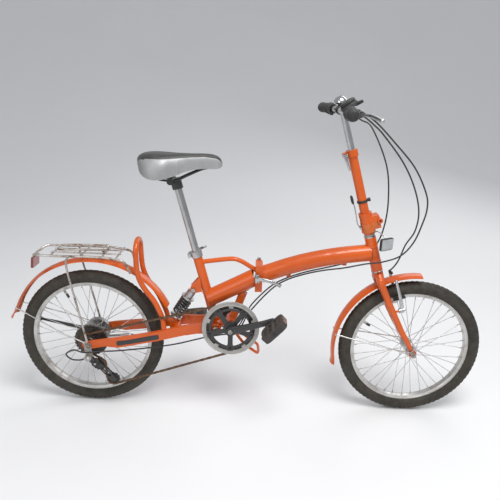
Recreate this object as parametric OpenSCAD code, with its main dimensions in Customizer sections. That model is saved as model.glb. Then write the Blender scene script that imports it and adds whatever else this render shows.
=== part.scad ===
/* [Wheels] */
// Outside diameter of both tyres
tyre_d = 500; // [480:1:510]
// Width of the tyres
tyre_w = 47; // [40:1:50]
// Outside diameter of the rims
rim_d = 420; // [410:1:424]
// Distance between the axles
wheelbase = 1123; // [1100:1:1150]
// Spokes in each wheel
spoke_count = 36; // [20:4:36]
// Width of the front hub between its lock nuts
front_hub_w = 100; // [96:1:104]
// Length of the rear hub between its brake and its freewheel
rear_hub_w = 92; // [88:1:96]
/* [Frame] */
// Diameter of the two main tubes
main_d = 60; // [50:1:66]
// Angle of the seat tube above the ground
seat_angle = 74.5; // [72:0.5:76]
// Angle of the steering axis above the ground
head_angle = 72.6; // [71:0.1:74]
// Outside diameter of the seat tube
seat_tube_d = 32; // [31:0.2:36]
// Diameter of the seat post
seat_post_d = 25.4; // [24:0.1:26]
// Height of the crank axle above the ground
crank_z = 325; // [315:1:335]
// Crank axle ahead of the rear axle
crank_x = 488; // [480:1:495]
// Height of the two hinge leaves of the frame
leaf_h = 92; // [84:1:110]
/* [Steering] */
// Outside diameter of the head tube
head_tube_d = 38; // [37:1:42]
// Outside diameter of the outer handle post
post_d = 30; // [29:0.5:34]
// Diameter of the sliding inner handle post and the bar
bar_d = 22.2; // [22:0.1:23]
// Overall width of the handlebar with its grips
bar_w = 616; // [560:2:660]
// Height of the handlebar along the steering axis
bar_s = 558; // [530:1:580]
/* [Drive] */
// Length of each crank arm
crank_l = 150; // [140:1:152]
// Angle of the right crank arm at rest
crank_rest = 16.5; // [0:0.5:30]
// Teeth of the chainring
ring_teeth = 44; // [42:1:46]
// Teeth of the six sprockets
sprocket_teeth = [28, 24, 21, 18, 16, 14];
// Outside diameter of the plastic chain guard ring
guard_ring_d = 198; // [194:1:202]
/* [Saddle and rack] */
// Length of the saddle
saddle_l = 274; // [250:1:280]
// Width of the saddle at the back
saddle_w = 176; // [150:1:190]
// Diameter of the rack wire
rack_wire_d = 8; // [7:0.5:9]
// Width of the mudguards
guard_w = 50; // [46:1:52]
/* [Hidden] */
$fn = 48;
paint = "darkorange";
steel = "silver";
black = "#222222";
fit = 0.05; // radial clearance of a running fit
gap = 0.3; // clearance of pieces that only pass each other
wheel_r = tyre_d / 2;
rim_r = rim_d / 2;
rim_depth = 15; // radial height of the rim section
rim_w = 24;
rim_wall = 2;
guard_x = 10; // centre of the rear mudguard ahead of the rear axle
guard_z = wheel_r + 6;
guard_r = 290; // crown radius of the rear mudguard
guard_end = 13.4; // angle of its rear end above the level
front_guard_r = 280;
guard_t = 1.6;
rear_end = guard_x - guard_r * cos(guard_end);
mid_x = (wheelbase + wheel_r + rear_end) / 2; // the origin lies under the middle of the length
// the swing pivot is the foot of the seat tube
pivot = [436, 0, 316];
pivot_d = 12;
shell_d = 38;
shell_w = 56;
seat_tube_l = 275;
crank = [crank_x, 0, crank_z];
axle = [0, 0, wheel_r];
front = [wheelbase, 0, wheel_r];
bottom_shell_w = 68;
bottom_shell_d = 40;
spindle_d = 17;
// frame hinge
hinge_x = 578;
hinge_z = 499;
hinge_pin_y = 40;
hinge_pin_d = 8;
knuckle_d = 17;
leaf_t = 12;
leaf_w = 64;
split = 0.1; // half of the gap between the two leaves
tube_wall = 2.2;
main_start = [409.5, 0, 411.5];
main_end = [hinge_x - leaf_t, 0, 495];
// shock, from its top eye on the frame to its lower eye on the swing arm
shock_top = [356, 0, 446];
shock_foot = [284, 0, 326];
shock_v = shock_foot - shock_top;
shock_l = norm(shock_v);
shock_tilt = atan2(shock_v[0], shock_v[2]);
eye_d = 18;
eye_w = 20;
shock_pin_d = 8;
loose = 0.9; // radial clearance of the lower eye, where the linkage is opened
// steering axis, measured upwards from its foot
foot = [984.3, 0, 522];
tilt = 90 - head_angle;
steerer_d = 28.6;
head_from = 16;
head_to = 137;
stem_from = 148;
fold_s = 188; // height of the hinge of the handle post
fold_u = 40; // its pin ahead of the steering axis
post_to = 434;
post_bore_d = bar_d + 2 * fit;
collar_h = 22;
fork_leg_y = 42;
fork_tip_y = front_hub_w / 2 + 3.5;
axle_front_d = 9;
axle_rear_d = 10;
// front brake, in the frame of the steering axis
boss_d = 8;
brake_y = 42;
brake_arm_l = 112;
pad_at = 37;
// bar
sweep_y = 90; // the bar bends back outside this
bar_back = 26;
bar_drop_angle = atan2(bar_back, bar_w / 2 - sweep_y);
grip_l = 124;
grip_d = 33;
// drive
pitch = 12.7;
chain_y = -50;
ring_t = 2;
function pitch_r(teeth) = pitch / 2 / sin(180 / teeth);
arm_y = 66; // inner face of the crank arms
pedal_y = 135;
right_pedal = [cos(crank_rest), 0, sin(crank_rest)] * crank_l;
pedal_axle_d = 12;
top_pulley = [30, chain_y, 168];
low_pulley = [78, chain_y, 113];
pulley_teeth = 11;
pulley_bore = 6;
cage_knuckle = [22, 0, 182];
// swing arm
stay_rear_y = 70;
stay_t = 13;
hoop_y = 41;
hoop_d = 18;
// saddle
saddle_rear = 174;
post_top_s = 518;
rail_d = 7;
rail_y = 22;
// ways of drawing
function cat(a, b, c, d, t) = 0.5 * ((2 * b) + (c - a) * t + (2 * a - 5 * b + 4 * c - d) * t * t
    + (3 * b - a - 3 * c + d) * t * t * t);
function curve(p, n) = let (m = len(p) - 1)
    [for (i = [0 : m - 1]) for (j = [0 : n - 1])
        cat(p[max(i - 1, 0)], p[i], p[i + 1], p[min(i + 2, m)], j / n), p[m]];
function unit(v) = v / norm(v);
function direction(p, i) = unit(p[min(i + 1, len(p) - 1)] - p[max(i - 1, 0)]);
function square_to(v, t) = unit(v - (v * t) * t);
function start_normal(t) = square_to(abs(t[1]) > 0.9 ? [1, 0, 0] : [0, 1, 0], t);
function normals(p) = [for (i = 0, n = start_normal(direction(p, 0)); i < len(p);
    i = i + 1, n = i < len(p) ? square_to(n, direction(p, i)) : n) n];
module sweep(p, d, sides = 8, d_end = 0) {
    last = len(p) - 1;
    n = normals(p);
    e = d_end > 0 ? d_end : d;
    points = [for (i = [0 : last]) let (t = direction(p, i), b = cross(t, n[i]),
        r = (d + (e - d) * i / last) / 2) for (k = [0 : sides - 1]) let (a = 360 * k / sides)
        p[i] + r * (cos(a) * n[i] + sin(a) * b)];
    side = [for (i = [0 : last - 1]) for (k = [0 : sides - 1]) let (m = (k + 1) % sides)
        [i * sides + k, (i + 1) * sides + k, (i + 1) * sides + m, i * sides + m]];
    ends = [[for (k = [0 : sides - 1]) k],
        [for (k = [sides - 1 : -1 : 0]) last * sides + k]];
    polyhedron(points, concat(side, ends));
}
module rod(a, b, d) {
    v = b - a;
    translate(a) rotate([0, acos(v[2] / norm(v)), atan2(v[1], v[0])]) cylinder(h = norm(v), d = d);
}
module across(at, y0, y1, d) translate([at[0], y1, at[2]]) rotate([90, 0, 0])
    cylinder(h = y1 - y0, d = d);
module plate(points, y0, y1) translate([0, y1, 0]) rotate([90, 0, 0])
    linear_extrude(y1 - y0) polygon(points);
module both() {
    children();
    mirror([0, 1, 0]) children();
}
module placed() translate([-mid_x, 0, 0]) children();
module on_steering() translate(foot) rotate([0, -tilt, 0]) children();
module on_seat() translate(pivot) rotate([0, seat_angle - 90, 0]) children();
module on_shock() translate(shock_top) rotate([0, shock_tilt, 0]) children();
module ring(d, bore, h) difference() {
    cylinder(h = h, d = d);
    translate([0, 0, -1]) cylinder(h = h + 2, d = bore);
}
// rear frame
handle_path = curve([[374, 0, 542], [430, 0, 551], [485, 0, 558], [512, 0, 553],
    [540, 0, 538], [569, 0, 520]], 4);
rest_path = curve([[494, -22, 312], [532, -31, 262], [574, -35, 230], [586, -24, 222],
    [586, 24, 222], [574, 35, 230], [532, 31, 262], [494, 22, 312]], 4);
module hinge_leaf(side) {
    x0 = side < 0 ? hinge_x - leaf_t : hinge_x + split;
    z0 = hinge_z - leaf_h / 2;
    translate([x0, -leaf_w / 2, z0]) cube([leaf_t - split, leaf_w, leaf_h]);
}
module knuckle(z0, z1) translate([hinge_x, hinge_pin_y, z0]) cylinder(h = z1 - z0, d = knuckle_d);
module knuckle_web(side, z0, z1) {
    x0 = side < 0 ? hinge_x - leaf_t : hinge_x + split;
    translate([x0, leaf_w / 2 - 1, z0]) cube([leaf_t - split, hinge_pin_y - leaf_w / 2 + 1, z1 - z0]);
}
third = leaf_h / 3;
window_d = 34; // opening through both leaves into the tubes
module leaf_window() translate([hinge_x - 2 * leaf_t, 0, main_end[2]]) rotate([0, 90, 0])
    cylinder(h = 4 * leaf_t, d = window_d);
module rear_frame() placed() color(paint) difference() {
    union() {
        on_seat() cylinder(h = seat_tube_l, d = seat_tube_d);
        across(pivot, -shell_w / 2, shell_w / 2, shell_d);
        across(crank, -bottom_shell_w / 2, bottom_shell_w / 2, bottom_shell_d);
        rod(pivot, crank, 26);
        rod(main_start, main_end, main_d);
        rod([528, 0, 440], crank, 28.6);
        hinge_leaf(-1);
        for (z = [-1, 1]) translate([0, 0, z * third]) {
            knuckle(hinge_z - third / 2 + gap, hinge_z + third / 2 - gap);
            knuckle_web(-1, hinge_z - third / 2 + gap, hinge_z + third / 2 - gap);
        }
        both() plate([[386, 440], [378, 492], [366, 480], [346, 456], [346, 440], [360, 434]],
            eye_w / 2 + 1, eye_w / 2 + 5);
        sweep(handle_path, 16, 16);
        sweep(rest_path, 10, 10);
    }
    on_seat() translate([0, 0, 34]) cylinder(h = seat_tube_l, d = seat_post_d + 2 * fit);
    rod(main_start + 0.26 * (main_end - main_start), main_end, main_d - 2 * tube_wall);
    leaf_window();
    across(pivot, -shell_w, shell_w, pivot_d + 2 * fit);
    across(crank, -bottom_shell_w, bottom_shell_w, 34);
    across(shock_top, -eye_w, eye_w, shock_pin_d + 2 * fit);
    translate([hinge_x, hinge_pin_y, 0]) cylinder(h = 2 * hinge_z, d = hinge_pin_d + 2 * fit);
    translate([hinge_x - split, -leaf_w, hinge_z - leaf_h])
        cube([leaf_t, 1.5 * leaf_w - 1, 2 * leaf_h]);
    translate([hinge_x - knuckle_d, hinge_pin_y - knuckle_d, hinge_z - third / 2])
        cube([2 * knuckle_d, 2 * knuckle_d, third]);
}
module bottom_bracket() placed() color(steel) for (side = [-1, 1])
    translate([crank[0], side * (bottom_shell_w / 2 - 6), crank[2]]) rotate([90, 0, 0])
        translate([0, 0, -7]) ring(34, spindle_d + 2 * fit, 14);
module frame_pins() placed() color(steel) {
    across(pivot, -46, 46, pivot_d);
    across(pivot, -52, -46, 19);
    across(pivot, 46, 52, 19);
    across(shock_top, -18, 18, shock_pin_d);
    across(shock_top, -23, -18, 14);
    across(shock_top, 18, 23, 14);
    translate([hinge_x, hinge_pin_y, hinge_z - leaf_h / 2 - 2]) cylinder(h = leaf_h + 4, d = hinge_pin_d);
    for (z = [-6, leaf_h + 2]) translate([hinge_x, hinge_pin_y, hinge_z - leaf_h / 2 + z])
        cylinder(h = 4, d = 13);
}
lever_y = -leaf_w / 2 - 12;
module frame_hinge_lever() placed() color(steel) {
    translate([hinge_x - 6, lever_y, hinge_z - 8]) cylinder(h = 26, d = 18);
    hull() {
        translate([hinge_x - 6, lever_y - 2, hinge_z]) cylinder(h = 12, d = 14, $fn = 24);
        translate([hinge_x + 30, lever_y - 9, hinge_z - 2]) cylinder(h = 10, d = 12, $fn = 24);
    }
    hull() {
        translate([hinge_x + 30, lever_y - 9, hinge_z - 2]) cylinder(h = 10, d = 12, $fn = 24);
        translate([hinge_x + 72, lever_y - 12, hinge_z - 18]) cylinder(h = 12, d = 10, $fn = 24);
    }
}
clamp_u = -seat_tube_d / 2 - 7; // skewer of the seat clamp, behind the axis of the seat tube
clamp_s = seat_tube_l - 9;
module seat_clamp() placed() color(steel) on_seat() {
    difference() {
        translate([0, 0, seat_tube_l - 20]) union() {
            cylinder(h = 22, d = seat_tube_d + 7);
            translate([-seat_tube_d / 2 - 13, -9, 4]) cube([14, 18, 14]);
        }
        translate([0, 0, seat_tube_l - 21]) cylinder(h = 21, d = seat_tube_d);
        cylinder(h = 2 * seat_tube_l, d = seat_post_d + 2 * fit);
        translate([-seat_tube_d, -1, seat_tube_l - 21]) cube([seat_tube_d, 2, 24]);
        translate([clamp_u, 20, clamp_s]) rotate([90, 0, 0]) cylinder(h = 40, d = 5);
    }
    translate([clamp_u, 0, clamp_s]) rotate([90, 0, 0]) {
        translate([0, 0, -13]) cylinder(h = 29, d = 5);
        translate([0, 0, 9]) cylinder(h = 6, d = 12);
    }
}
module seat_clamp_lever() placed() color(steel) on_seat() translate([clamp_u, 20, clamp_s]) {
    translate([0, 0, -6]) cylinder(h = 12, d = 13);
    hull() {
        sphere(d = 10, $fn = 20);
        translate([28, 8, 6]) sphere(d = 10, $fn = 20);
    }
    hull() {
        translate([28, 8, 6]) sphere(d = 10, $fn = 20);
        translate([56, 6, 10]) sphere(d = 9, $fn = 20);
    }
}
// saddle
post_from_s = 150;
module seatpost() placed() color(steel) on_seat() translate([0, 0, post_from_s])
    cylinder(h = post_top_s - post_from_s, d = seat_post_d);
clamp_x = 283;
clamp_z = 822;
rail_path = curve([[196, 44, 856], [226, 34, 838], [250, rail_y, clamp_z], [300, rail_y, clamp_z],
    [336, 20, 838], [380, 13, 858], [404, 9, 864]], 4);
module saddle_rails() placed() color(black) {
    both() sweep(rail_path, rail_d, 10);
    difference() {
        union() {
            across([clamp_x, 0, clamp_z - 3], -34, 34, 22);
            on_seat() translate([0, 0, post_top_s - 24]) cylinder(h = 34, d = 36);
        }
        both() rod([clamp_x - 60, rail_y, clamp_z], [clamp_x + 60, rail_y, clamp_z], rail_d + 0.6);
        on_seat() translate([0, 0, post_top_s - 60]) cylinder(h = 60, d = seat_post_d);
    }
}
saddle_top = 908;
module saddle_slice(x, w, z0, z1) translate([x, 0, z0]) hull() {
    for (y = [-1, 1]) translate([0, y * (w / 2 - 8), 8]) sphere(d = 16, $fn = 20);
    translate([0, 0, z1 - z0 - 12]) sphere(d = 24, $fn = 20);
    for (y = [-1, 1]) translate([0, y * (w / 2 - 16), z1 - z0 - 20]) sphere(d = 26, $fn = 20);
}
module saddle() placed() color(black) difference() {
    union() {
        hull() {
            saddle_slice(saddle_rear + 14, saddle_w - 46, 860, saddle_top - 2);
            saddle_slice(saddle_rear + 58, saddle_w, 830, saddle_top);
        }
        hull() {
            saddle_slice(saddle_rear + 58, saddle_w, 830, saddle_top);
            saddle_slice(saddle_rear + 120, 112, 846, saddle_top - 1);
        }
        hull() {
            saddle_slice(saddle_rear + 120, 112, 846, saddle_top - 1);
            saddle_slice(saddle_rear + saddle_l - 12, 44, 862, saddle_top - 2);
        }
    }
    translate([saddle_rear - 20, -27, 820]) cube([saddle_l - 16, 54, 48]);
    translate([saddle_rear + 10, -50, 820]) cube([60, 100, 42]);
}
// drive
module pedal_axle() translate([0, 0, arm_y + 6]) cylinder(h = 100, d = pedal_axle_d);
module crank_axles() placed() color(steel) {
    across(crank, -arm_y - 10, arm_y + 10, spindle_d);
    translate(crank + right_pedal) rotate([90, 0, 0]) pedal_axle();
    translate(crank - right_pedal) rotate([-90, 0, 0]) pedal_axle();
}
module crank_arm() {
    difference() {
        union() {
            cylinder(h = 18, d = 32);
            hull() {
                translate([0, 0, 4]) cylinder(h = 14, d = 28, $fn = 32);
                translate([crank_l, 0, 8]) cylinder(h = 13, d = 24, $fn = 32);
            }
            translate([crank_l, 0, 8]) cylinder(h = 13, d = 26);
        }
        translate([0, 0, -1]) cylinder(h = 11, d = spindle_d);
        translate([crank_l, 0, 0]) cylinder(h = 30, d = pedal_axle_d);
    }
}
spider_in = 20;
module spider() for (i = [0 : 4]) rotate([0, 0, 90 + 72 * i]) translate([spider_in - 8, -9, 0])
    cube([70, 18, 4]);
module crank_arms() placed() color(black) {
    translate(crank) rotate([90, -crank_rest, 0]) translate([0, 0, arm_y]) crank_arm();
    translate(crank) rotate([-90, 180 + crank_rest, 0]) translate([0, 0, arm_y]) crank_arm();
    translate(crank) rotate([90, 0, 0]) {
        difference() {
            translate([0, 0, 58]) union() {
                cylinder(h = arm_y - 58, d = 46);
                spider();
            }
            cylinder(h = 80, d = spindle_d);
        }
    }
}
ring_r = pitch_r(ring_teeth);
// tooth blanks: the side plates of the chain run beside them
module chainring() placed() color(steel) translate([crank[0], chain_y + ring_t / 2, crank[2]])
    rotate([90, 0, 0]) difference() {
        cylinder(h = ring_t, r = ring_r + 3);
        translate([0, 0, -1]) cylinder(h = ring_t + 2, r = 70);
    }
module chain_guard() placed() color("lightgrey") translate([crank[0], chain_y - 2.8, crank[2]])
    rotate([90, 0, 0]) difference() {
        cylinder(h = 5, d = guard_ring_d);
        translate([0, 0, -1]) cylinder(h = 7, r = 80);
    }
module pedal(turn) rotate([0, turn, 0]) difference() {
    union() {
        for (x = [-39, 39]) translate([x - 7, -39, -12]) cube([14, 78, 24]);
        for (y = [-39, 31]) translate([-40, y, -12]) cube([80, 8, 24]);
        rotate([90, 0, 0]) translate([0, 0, -39]) cylinder(h = 78, d = 24);
        translate([-40, -4, -9]) cube([80, 8, 18]);
    }
    rotate([90, 0, 0]) translate([0, 0, -60]) cylinder(h = 120, d = pedal_axle_d + 2 * fit);
}
module pedal_right() placed() color(black) translate(crank + right_pedal + [0, -pedal_y, 0]) pedal(-47);
module pedal_left() placed() color(black) translate(crank - right_pedal + [0, pedal_y, 0]) pedal(-8);
// swing arm
stay_side = [[-20, 256], [8, 268], [60, 277], [140, 288], [230, 303], [330, 325], [446, 334],
    [452, 316], [446, 298], [330, 291], [230, 269], [100, 246], [60, 250], [8, 238], [-20, 244]];
stay_plan = [[-22, stay_rear_y - 4], [60, stay_rear_y - 4], [120, stay_rear_y - 10], [330, 38],
    [360, 30], [456, 29], [456, 29 + stay_t], [370, 29 + stay_t], [340, 38 + stay_t], [130, stay_rear_y + 3],
    [70, stay_rear_y + 4], [-22, stay_rear_y + 2]];
hoop_path = curve([[258, 45, 302], [256, 41, 328], [249, 36, 354], [226, 36, 406], [192, 38, 456],
    [173, hoop_y, 504], [168, hoop_y, 574]], 4);
hoop_bend = [for (a = [15 : 15 : 165]) [168, hoop_y * cos(a), 574 + hoop_y * sin(a)]];
function flip(p) = [for (i = [len(p) - 1 : -1 : 0]) [p[i][0], -p[i][1], p[i][2]]];
module stay() intersection() {
    plate(stay_side, 0, 90);
    linear_extrude(400) polygon(stay_plan);
}
module swingarm() placed() color(paint) difference() {
    union() {
        both() stay();
        sweep(concat(hoop_path, hoop_bend, flip(hoop_path)), hoop_d, 20);
        across([300, 0, 306], -44, 44, 24);
        both() plate([[274, 302], [272, 336], [298, 336], [308, 300]], eye_w / 2 + 1, eye_w / 2 + 5);
        plate([[274, 300], [308, 296], [310, 306], [274, 311]], -15, 15);
        translate([-34, 76, 232]) rotate([90, 0, 0]) cylinder(h = 8, d = 26);
        plate([[-44, 238], [-30, 220], [0, 238], [0, 262], [-20, 254]], 68, 72);
    }
    across(pivot, -80, 80, pivot_d + 2 * fit);
    across(axle, -90, 90, axle_rear_d);
    across(shock_foot, -40, 40, shock_pin_d);
    across(pivot, -shell_w / 2 - gap, shell_w / 2 + gap, shell_d + 1);
    rear_tyre_space();
}
module rear_tyre_space() across(axle, -27, 27, tyre_d + 4);
guard_crown = 50; // radius of the crowned section
module guard_section(r) translate([r - guard_crown, 0]) intersection() {
    difference() {
        circle(r = guard_crown);
        circle(r = guard_crown - guard_t);
    }
    translate([0, -guard_w / 2]) square([guard_crown + 1, guard_w]);
}
module guard_arc(at, r, from, to) translate(at) rotate([90, 0, 0]) rotate([0, 0, from])
    rotate_extrude(angle = to - from) guard_section(r);
rear_stay = [[-6, 78, 262], [-90, 68, 296], [-180, 45, 332], [-253, guard_w / 2, 361]];
module rear_mudguard() placed() {
    color(paint) guard_arc([guard_x, 0, guard_z], guard_r, 26, 180 - guard_end);
    color(steel) both() sweep(curve(rear_stay, 4), 4.4, 8);
}
rack_z = 566;
rail_out = 58;
rack_loop = curve([[128, rail_out, 556], [60, rail_out, rack_z], [-60, rail_out, rack_z],
    [-130, rail_out, rack_z], [-160, 50, rack_z], [-176, 26, 556], [-180, 0, 552],
    [-176, -26, 556], [-160, -50, rack_z], [-130, -rail_out, rack_z], [-60, -rail_out, rack_z],
    [60, -rail_out, rack_z], [128, -rail_out, 556]], 3);
rack_leg = curve([[118, rail_out, 559], [134, rail_out, 550], [142, 50, 528], [146, 34, 506]], 3);
rack_strut = curve([[-48, rail_out + 5, rack_z + 2], [-52, rail_out + 14, 530], [-20, 80, 380],
    [2, 84, 276]], 4);
module rack() placed() color(steel) {
    sweep(rack_loop, rack_wire_d, 8);
    both() sweep(rack_leg, rack_wire_d, 8);
    both() sweep(rack_strut, 7, 8);
    for (x = [-110, -10, 60, 108]) rod([x, -rail_out, rack_z], [x, rail_out, rack_z], 6);
    for (y = [-20, 20]) rod([-118, y, rack_z + 1], [114, y, rack_z + 1], 6);
}
module rack_clip() placed() color(steel) {
    difference() {
        across([60, 0, rack_z + 13], -32, 32, 9);
        across([60, 0, rack_z + 13], -33, 33, 4);
    }
    both() rod([58, 30, rack_z + 16], [-92, 30, rack_z + 13], 6);
    rod([-92, -32, rack_z + 13], [-92, 32, rack_z + 13], 6);
}
module rear_reflector() placed() color("darkred") translate([-190, -27, 509])
    rotate([0, 6, 0]) difference() {
    cube([9, 54, 38]);
    translate([-1, 3, 3]) cube([2, 48, 32]);
}
module rear_axle() placed() color(steel) {
    across(axle, -94, 94, axle_rear_d);
    across(axle, 73, 82, 17);
    across(axle, -85, -76, 17);
    difference() {
        union() {
            plate([[-12, 260], [12, 260], [16, 214], [6, 200], [-8, 206]], -76, -73);
            across([4, 0, 211], -92, -76, 22);
        }
        across(axle, -94, -60, axle_rear_d);
    }
}
module rear_brake() placed() {
    color("grey") difference() {
        across(axle, 46, 62, 92);
        across(axle, 40, 70, axle_rear_d);
        across(axle, 45, 57, 84);
    }
    color(black) rod([34, 57, 222], [112, 57, 232], 9);
}
module derailleur_body() placed() color(black) hull() {
    across([cage_knuckle[0] - 2, 0, cage_knuckle[2] + 4], -74, -59, 22, $fn = 32);
    across([cage_knuckle[0] + 10, 0, cage_knuckle[2] - 10], -72, -58, 24, $fn = 32);
}
module cage_side(y) hull() for (p = [top_pulley, low_pulley]) translate([p[0], y, p[2]])
    rotate([90, 0, 0]) cylinder(h = 1.6, d = 22, $fn = 32);
module derailleur_cage() placed() color(black) {
    cage_side(chain_y - 5);
    cage_side(chain_y + 6.6);
    across(cage_knuckle, -57.6, -55, 20);
    for (p = [top_pulley, low_pulley]) translate([p[0], chain_y + 6.6, p[2]]) rotate([90, 0, 0])
        cylinder(h = 13.2, d = pulley_bore);
}
module pulley(at) translate([at[0], chain_y + 3.5, at[2]]) rotate([90, 0, 0]) difference() {
    union() {
        translate([0, 0, 2.4]) cylinder(h = 2.2, r = pitch_r(pulley_teeth) + 2);
        cylinder(h = 7, d = 26);
    }
    translate([0, 0, -1]) cylinder(h = 9, d = pulley_bore + 2 * fit);
}
module pulley_top() placed() color(black) pulley(top_pulley);
module pulley_bottom() placed() color(black) pulley(low_pulley);
stand_at = [-34, 0, 232];
stand_l = 190;
module kickstand() placed() color(black) {
    across(stand_at, 76.2, 90, 22);
    translate([stand_at[0], 84, stand_at[2]]) rotate([0, -78, 0]) {
        cylinder(h = stand_l, d1 = 15, d2 = 10);
        translate([0, 0, stand_l]) cylinder(h = 14, d = 16);
    }
}
// shock
module shock_body() placed() color(steel) on_shock() difference() {
    union() {
        rotate([90, 0, 0]) cylinder(h = eye_w, d = eye_d, center = true);
        translate([0, 0, 4]) cylinder(h = 12, d = 14);
        translate([0, 0, 12]) cylinder(h = 24, d = 30);
        translate([0, 0, 36]) cylinder(h = 6, d = 46);
        translate([0, 0, 40]) cylinder(h = 34, d = 24);
    }
    rotate([90, 0, 0]) cylinder(h = 2 * eye_w, d = shock_pin_d + 2 * fit, center = true);
    translate([0, 0, 40]) cylinder(h = 60, d = 12 + 2 * fit);
}
module shock_shaft() placed() color(steel) on_shock() difference() {
    union() {
        translate([0, 0, 66]) cylinder(h = shock_l - 70, d = 12);
        translate([0, 0, shock_l - 24]) cylinder(h = 6, d = 44);
        translate([0, 0, shock_l]) rotate([90, 0, 0]) cylinder(h = eye_w, d = eye_d + 4, center = true);
    }
    translate([0, 0, shock_l]) rotate([90, 0, 0])
        cylinder(h = 2 * eye_w, d = shock_pin_d + 2 * loose, center = true);
}
spring_turns = 5.5;
spring_from = 46;
spring_to = shock_l - 28;
module shock_spring() placed() color(black) on_shock()
    sweep([for (i = [0 : 12 * spring_turns]) let (a = 30 * i) [17.5 * cos(a), 17.5 * sin(a),
        spring_from + (spring_to - spring_from) * i / 12 / spring_turns]], 7, 8);
// wheels
module tyre_section() difference() {
    union() {
        difference() {
            translate([wheel_r - tyre_w / 2, 0]) circle(d = tyre_w);
            translate([0, -rim_w / 2 - gap]) square([rim_r + gap, rim_w + 2 * gap]);
        }
        translate([rim_r - 8, -rim_w / 2 + rim_wall + gap]) square([12, rim_w - 2 * rim_wall - 2 * gap]);
    }
    translate([wheel_r - tyre_w / 2, 0]) circle(d = tyre_w - 9);
}
module tyre() rotate([90, 0, 0]) rotate_extrude() tyre_section();
module rim() rotate([90, 0, 0]) rotate_extrude() difference() {
    translate([rim_r - rim_depth, -rim_w / 2]) square([rim_depth, rim_w]);
    translate([rim_r - 9, -rim_w / 2 + rim_wall]) square([10, rim_w - 2 * rim_wall]);
}
module spokes(left, right, flange_r) for (i = [0 : spoke_count - 1]) {
    side = i % 2 == 0 ? 1 : -1;
    twist = floor(i / 2) % 2 == 0 ? 1 : -1;
    a = 360 * i / spoke_count;
    b = a + twist * 62;
    y = side > 0 ? left + twist * 3.8 : right - twist * 3.8;
    r = rim_r - rim_depth - gap;
    rod([flange_r * cos(b), y, flange_r * sin(b)], [r * cos(a), side * 4, r * sin(a)], 2);
}
module hub(width, barrel_d, flange_d, left, right, bore) rotate([90, 0, 0]) difference() {
    union() {
        translate([0, 0, -width / 2 + 6]) cylinder(h = width - 12, d = 20);
        translate([0, 0, -left]) cylinder(h = left - right, d = barrel_d);
        for (y = [left, right]) translate([0, 0, -y - 1.5]) cylinder(h = 3, d = flange_d);
    }
    cylinder(h = 2 * width, d = bore, center = true);
}
rear_left = 30;
rear_right = -22;
front_flange = 33;
module rear_tyre() placed() color(black) translate(axle) tyre();
module rear_rim() placed() color(steel) translate(axle) rim();
module rear_spokes() placed() color(steel) translate(axle) spokes(rear_left, rear_right, 22);
module rear_hub() placed() color(steel) translate(axle)
    hub(rear_hub_w, 34, 52, rear_left, rear_right, axle_rear_d + 2 * fit);
module front_tyre() placed() color(black) translate(front) tyre();
module front_rim() placed() color(steel) translate(front) rim();
module front_spokes() placed() color(steel) translate(front) spokes(front_flange, -front_flange, 16);
module front_hub() placed() color(steel) translate(front)
    hub(front_hub_w, 24, 40, front_flange, -front_flange, axle_front_d + 2 * fit);
sprocket_step = 4.6;
sprocket_y = chain_y + 4 * sprocket_step; // the chain runs on the fifth sprocket
module sprockets() placed() color(black) translate(axle) rotate([90, 0, 0]) difference() {
    union() {
        for (i = [0 : 5]) translate([0, 0, -sprocket_y + i * sprocket_step - 1])
            cylinder(h = 2, r = pitch_r(sprocket_teeth[i]) + 2);
        translate([0, 0, -sprocket_y - 4]) cylinder(h = 6 * sprocket_step + 4, d = 44);
    }
    translate([0, 0, 20]) cylinder(h = 60, d = 20 + 2 * gap);
}
// side plates of the chain, along its loop round ring, sprocket and pulleys
module chain() placed() color("saddlebrown") for (y = [-2.6, 1.6])
    translate([0, chain_y + y + 1, 0]) rotate([90, 0, 0]) linear_extrude(1) chain_outline();
// angle of the outside tangent on the right of the way from a to b, and of the crossed ones
function heading(a, b) = atan2((b - a)[1], (b - a)[0]);
function beside(a, ra, b, rb) = heading(a, b) - acos((ra - rb) / norm(b - a));
function crossing(a, ra, b, rb, side) = heading(a, b) + side * acos((ra + rb) / norm(b - a));
module chain_outline() {
    ring_c = [crank[0], crank[2]];
    cog_c = [axle[0], axle[2]];
    top_c = [top_pulley[0], top_pulley[2]];
    low_c = [low_pulley[0], low_pulley[2]];
    cog_r = pitch_r(sprocket_teeth[4]);
    small_r = pitch_r(pulley_teeth);
    upper = beside(ring_c, ring_r, cog_c, cog_r) + 360;
    lower = beside(low_c, small_r, ring_c, ring_r);
    leave_cog = crossing(cog_c, cog_r, top_c, small_r, -1);
    leave_top = crossing(top_c, small_r, low_c, small_r, 1);
    line = concat(arc_points(ring_c, ring_r, lower, upper % 360, 30),
        arc_points(cog_c, cog_r, upper % 360, leave_cog + 360, 14),
        arc_points(top_c, small_r, leave_cog + 180, leave_top, 10),
        arc_points(low_c, small_r, leave_top + 180, lower + 360, 10));
    difference() {
        polygon(beside_loop(line, plate_h / 2));
        polygon(beside_loop(line, -plate_h / 2));
    }
}
plate_h = 8; // height of the side plates
function arc_points(c, r, from, to, n) = [for (i = [0 : n]) let (a = from + (to - from) * i / n)
    c + r * [cos(a), sin(a)]];
function beside_loop(p, d) = let (m = len(p)) [for (i = [0 : m - 1])
    let (t = unit(p[(i + 1) % m] - p[(i + m - 1) % m])) p[i] + d * [t[1], -t[0]]];
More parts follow.
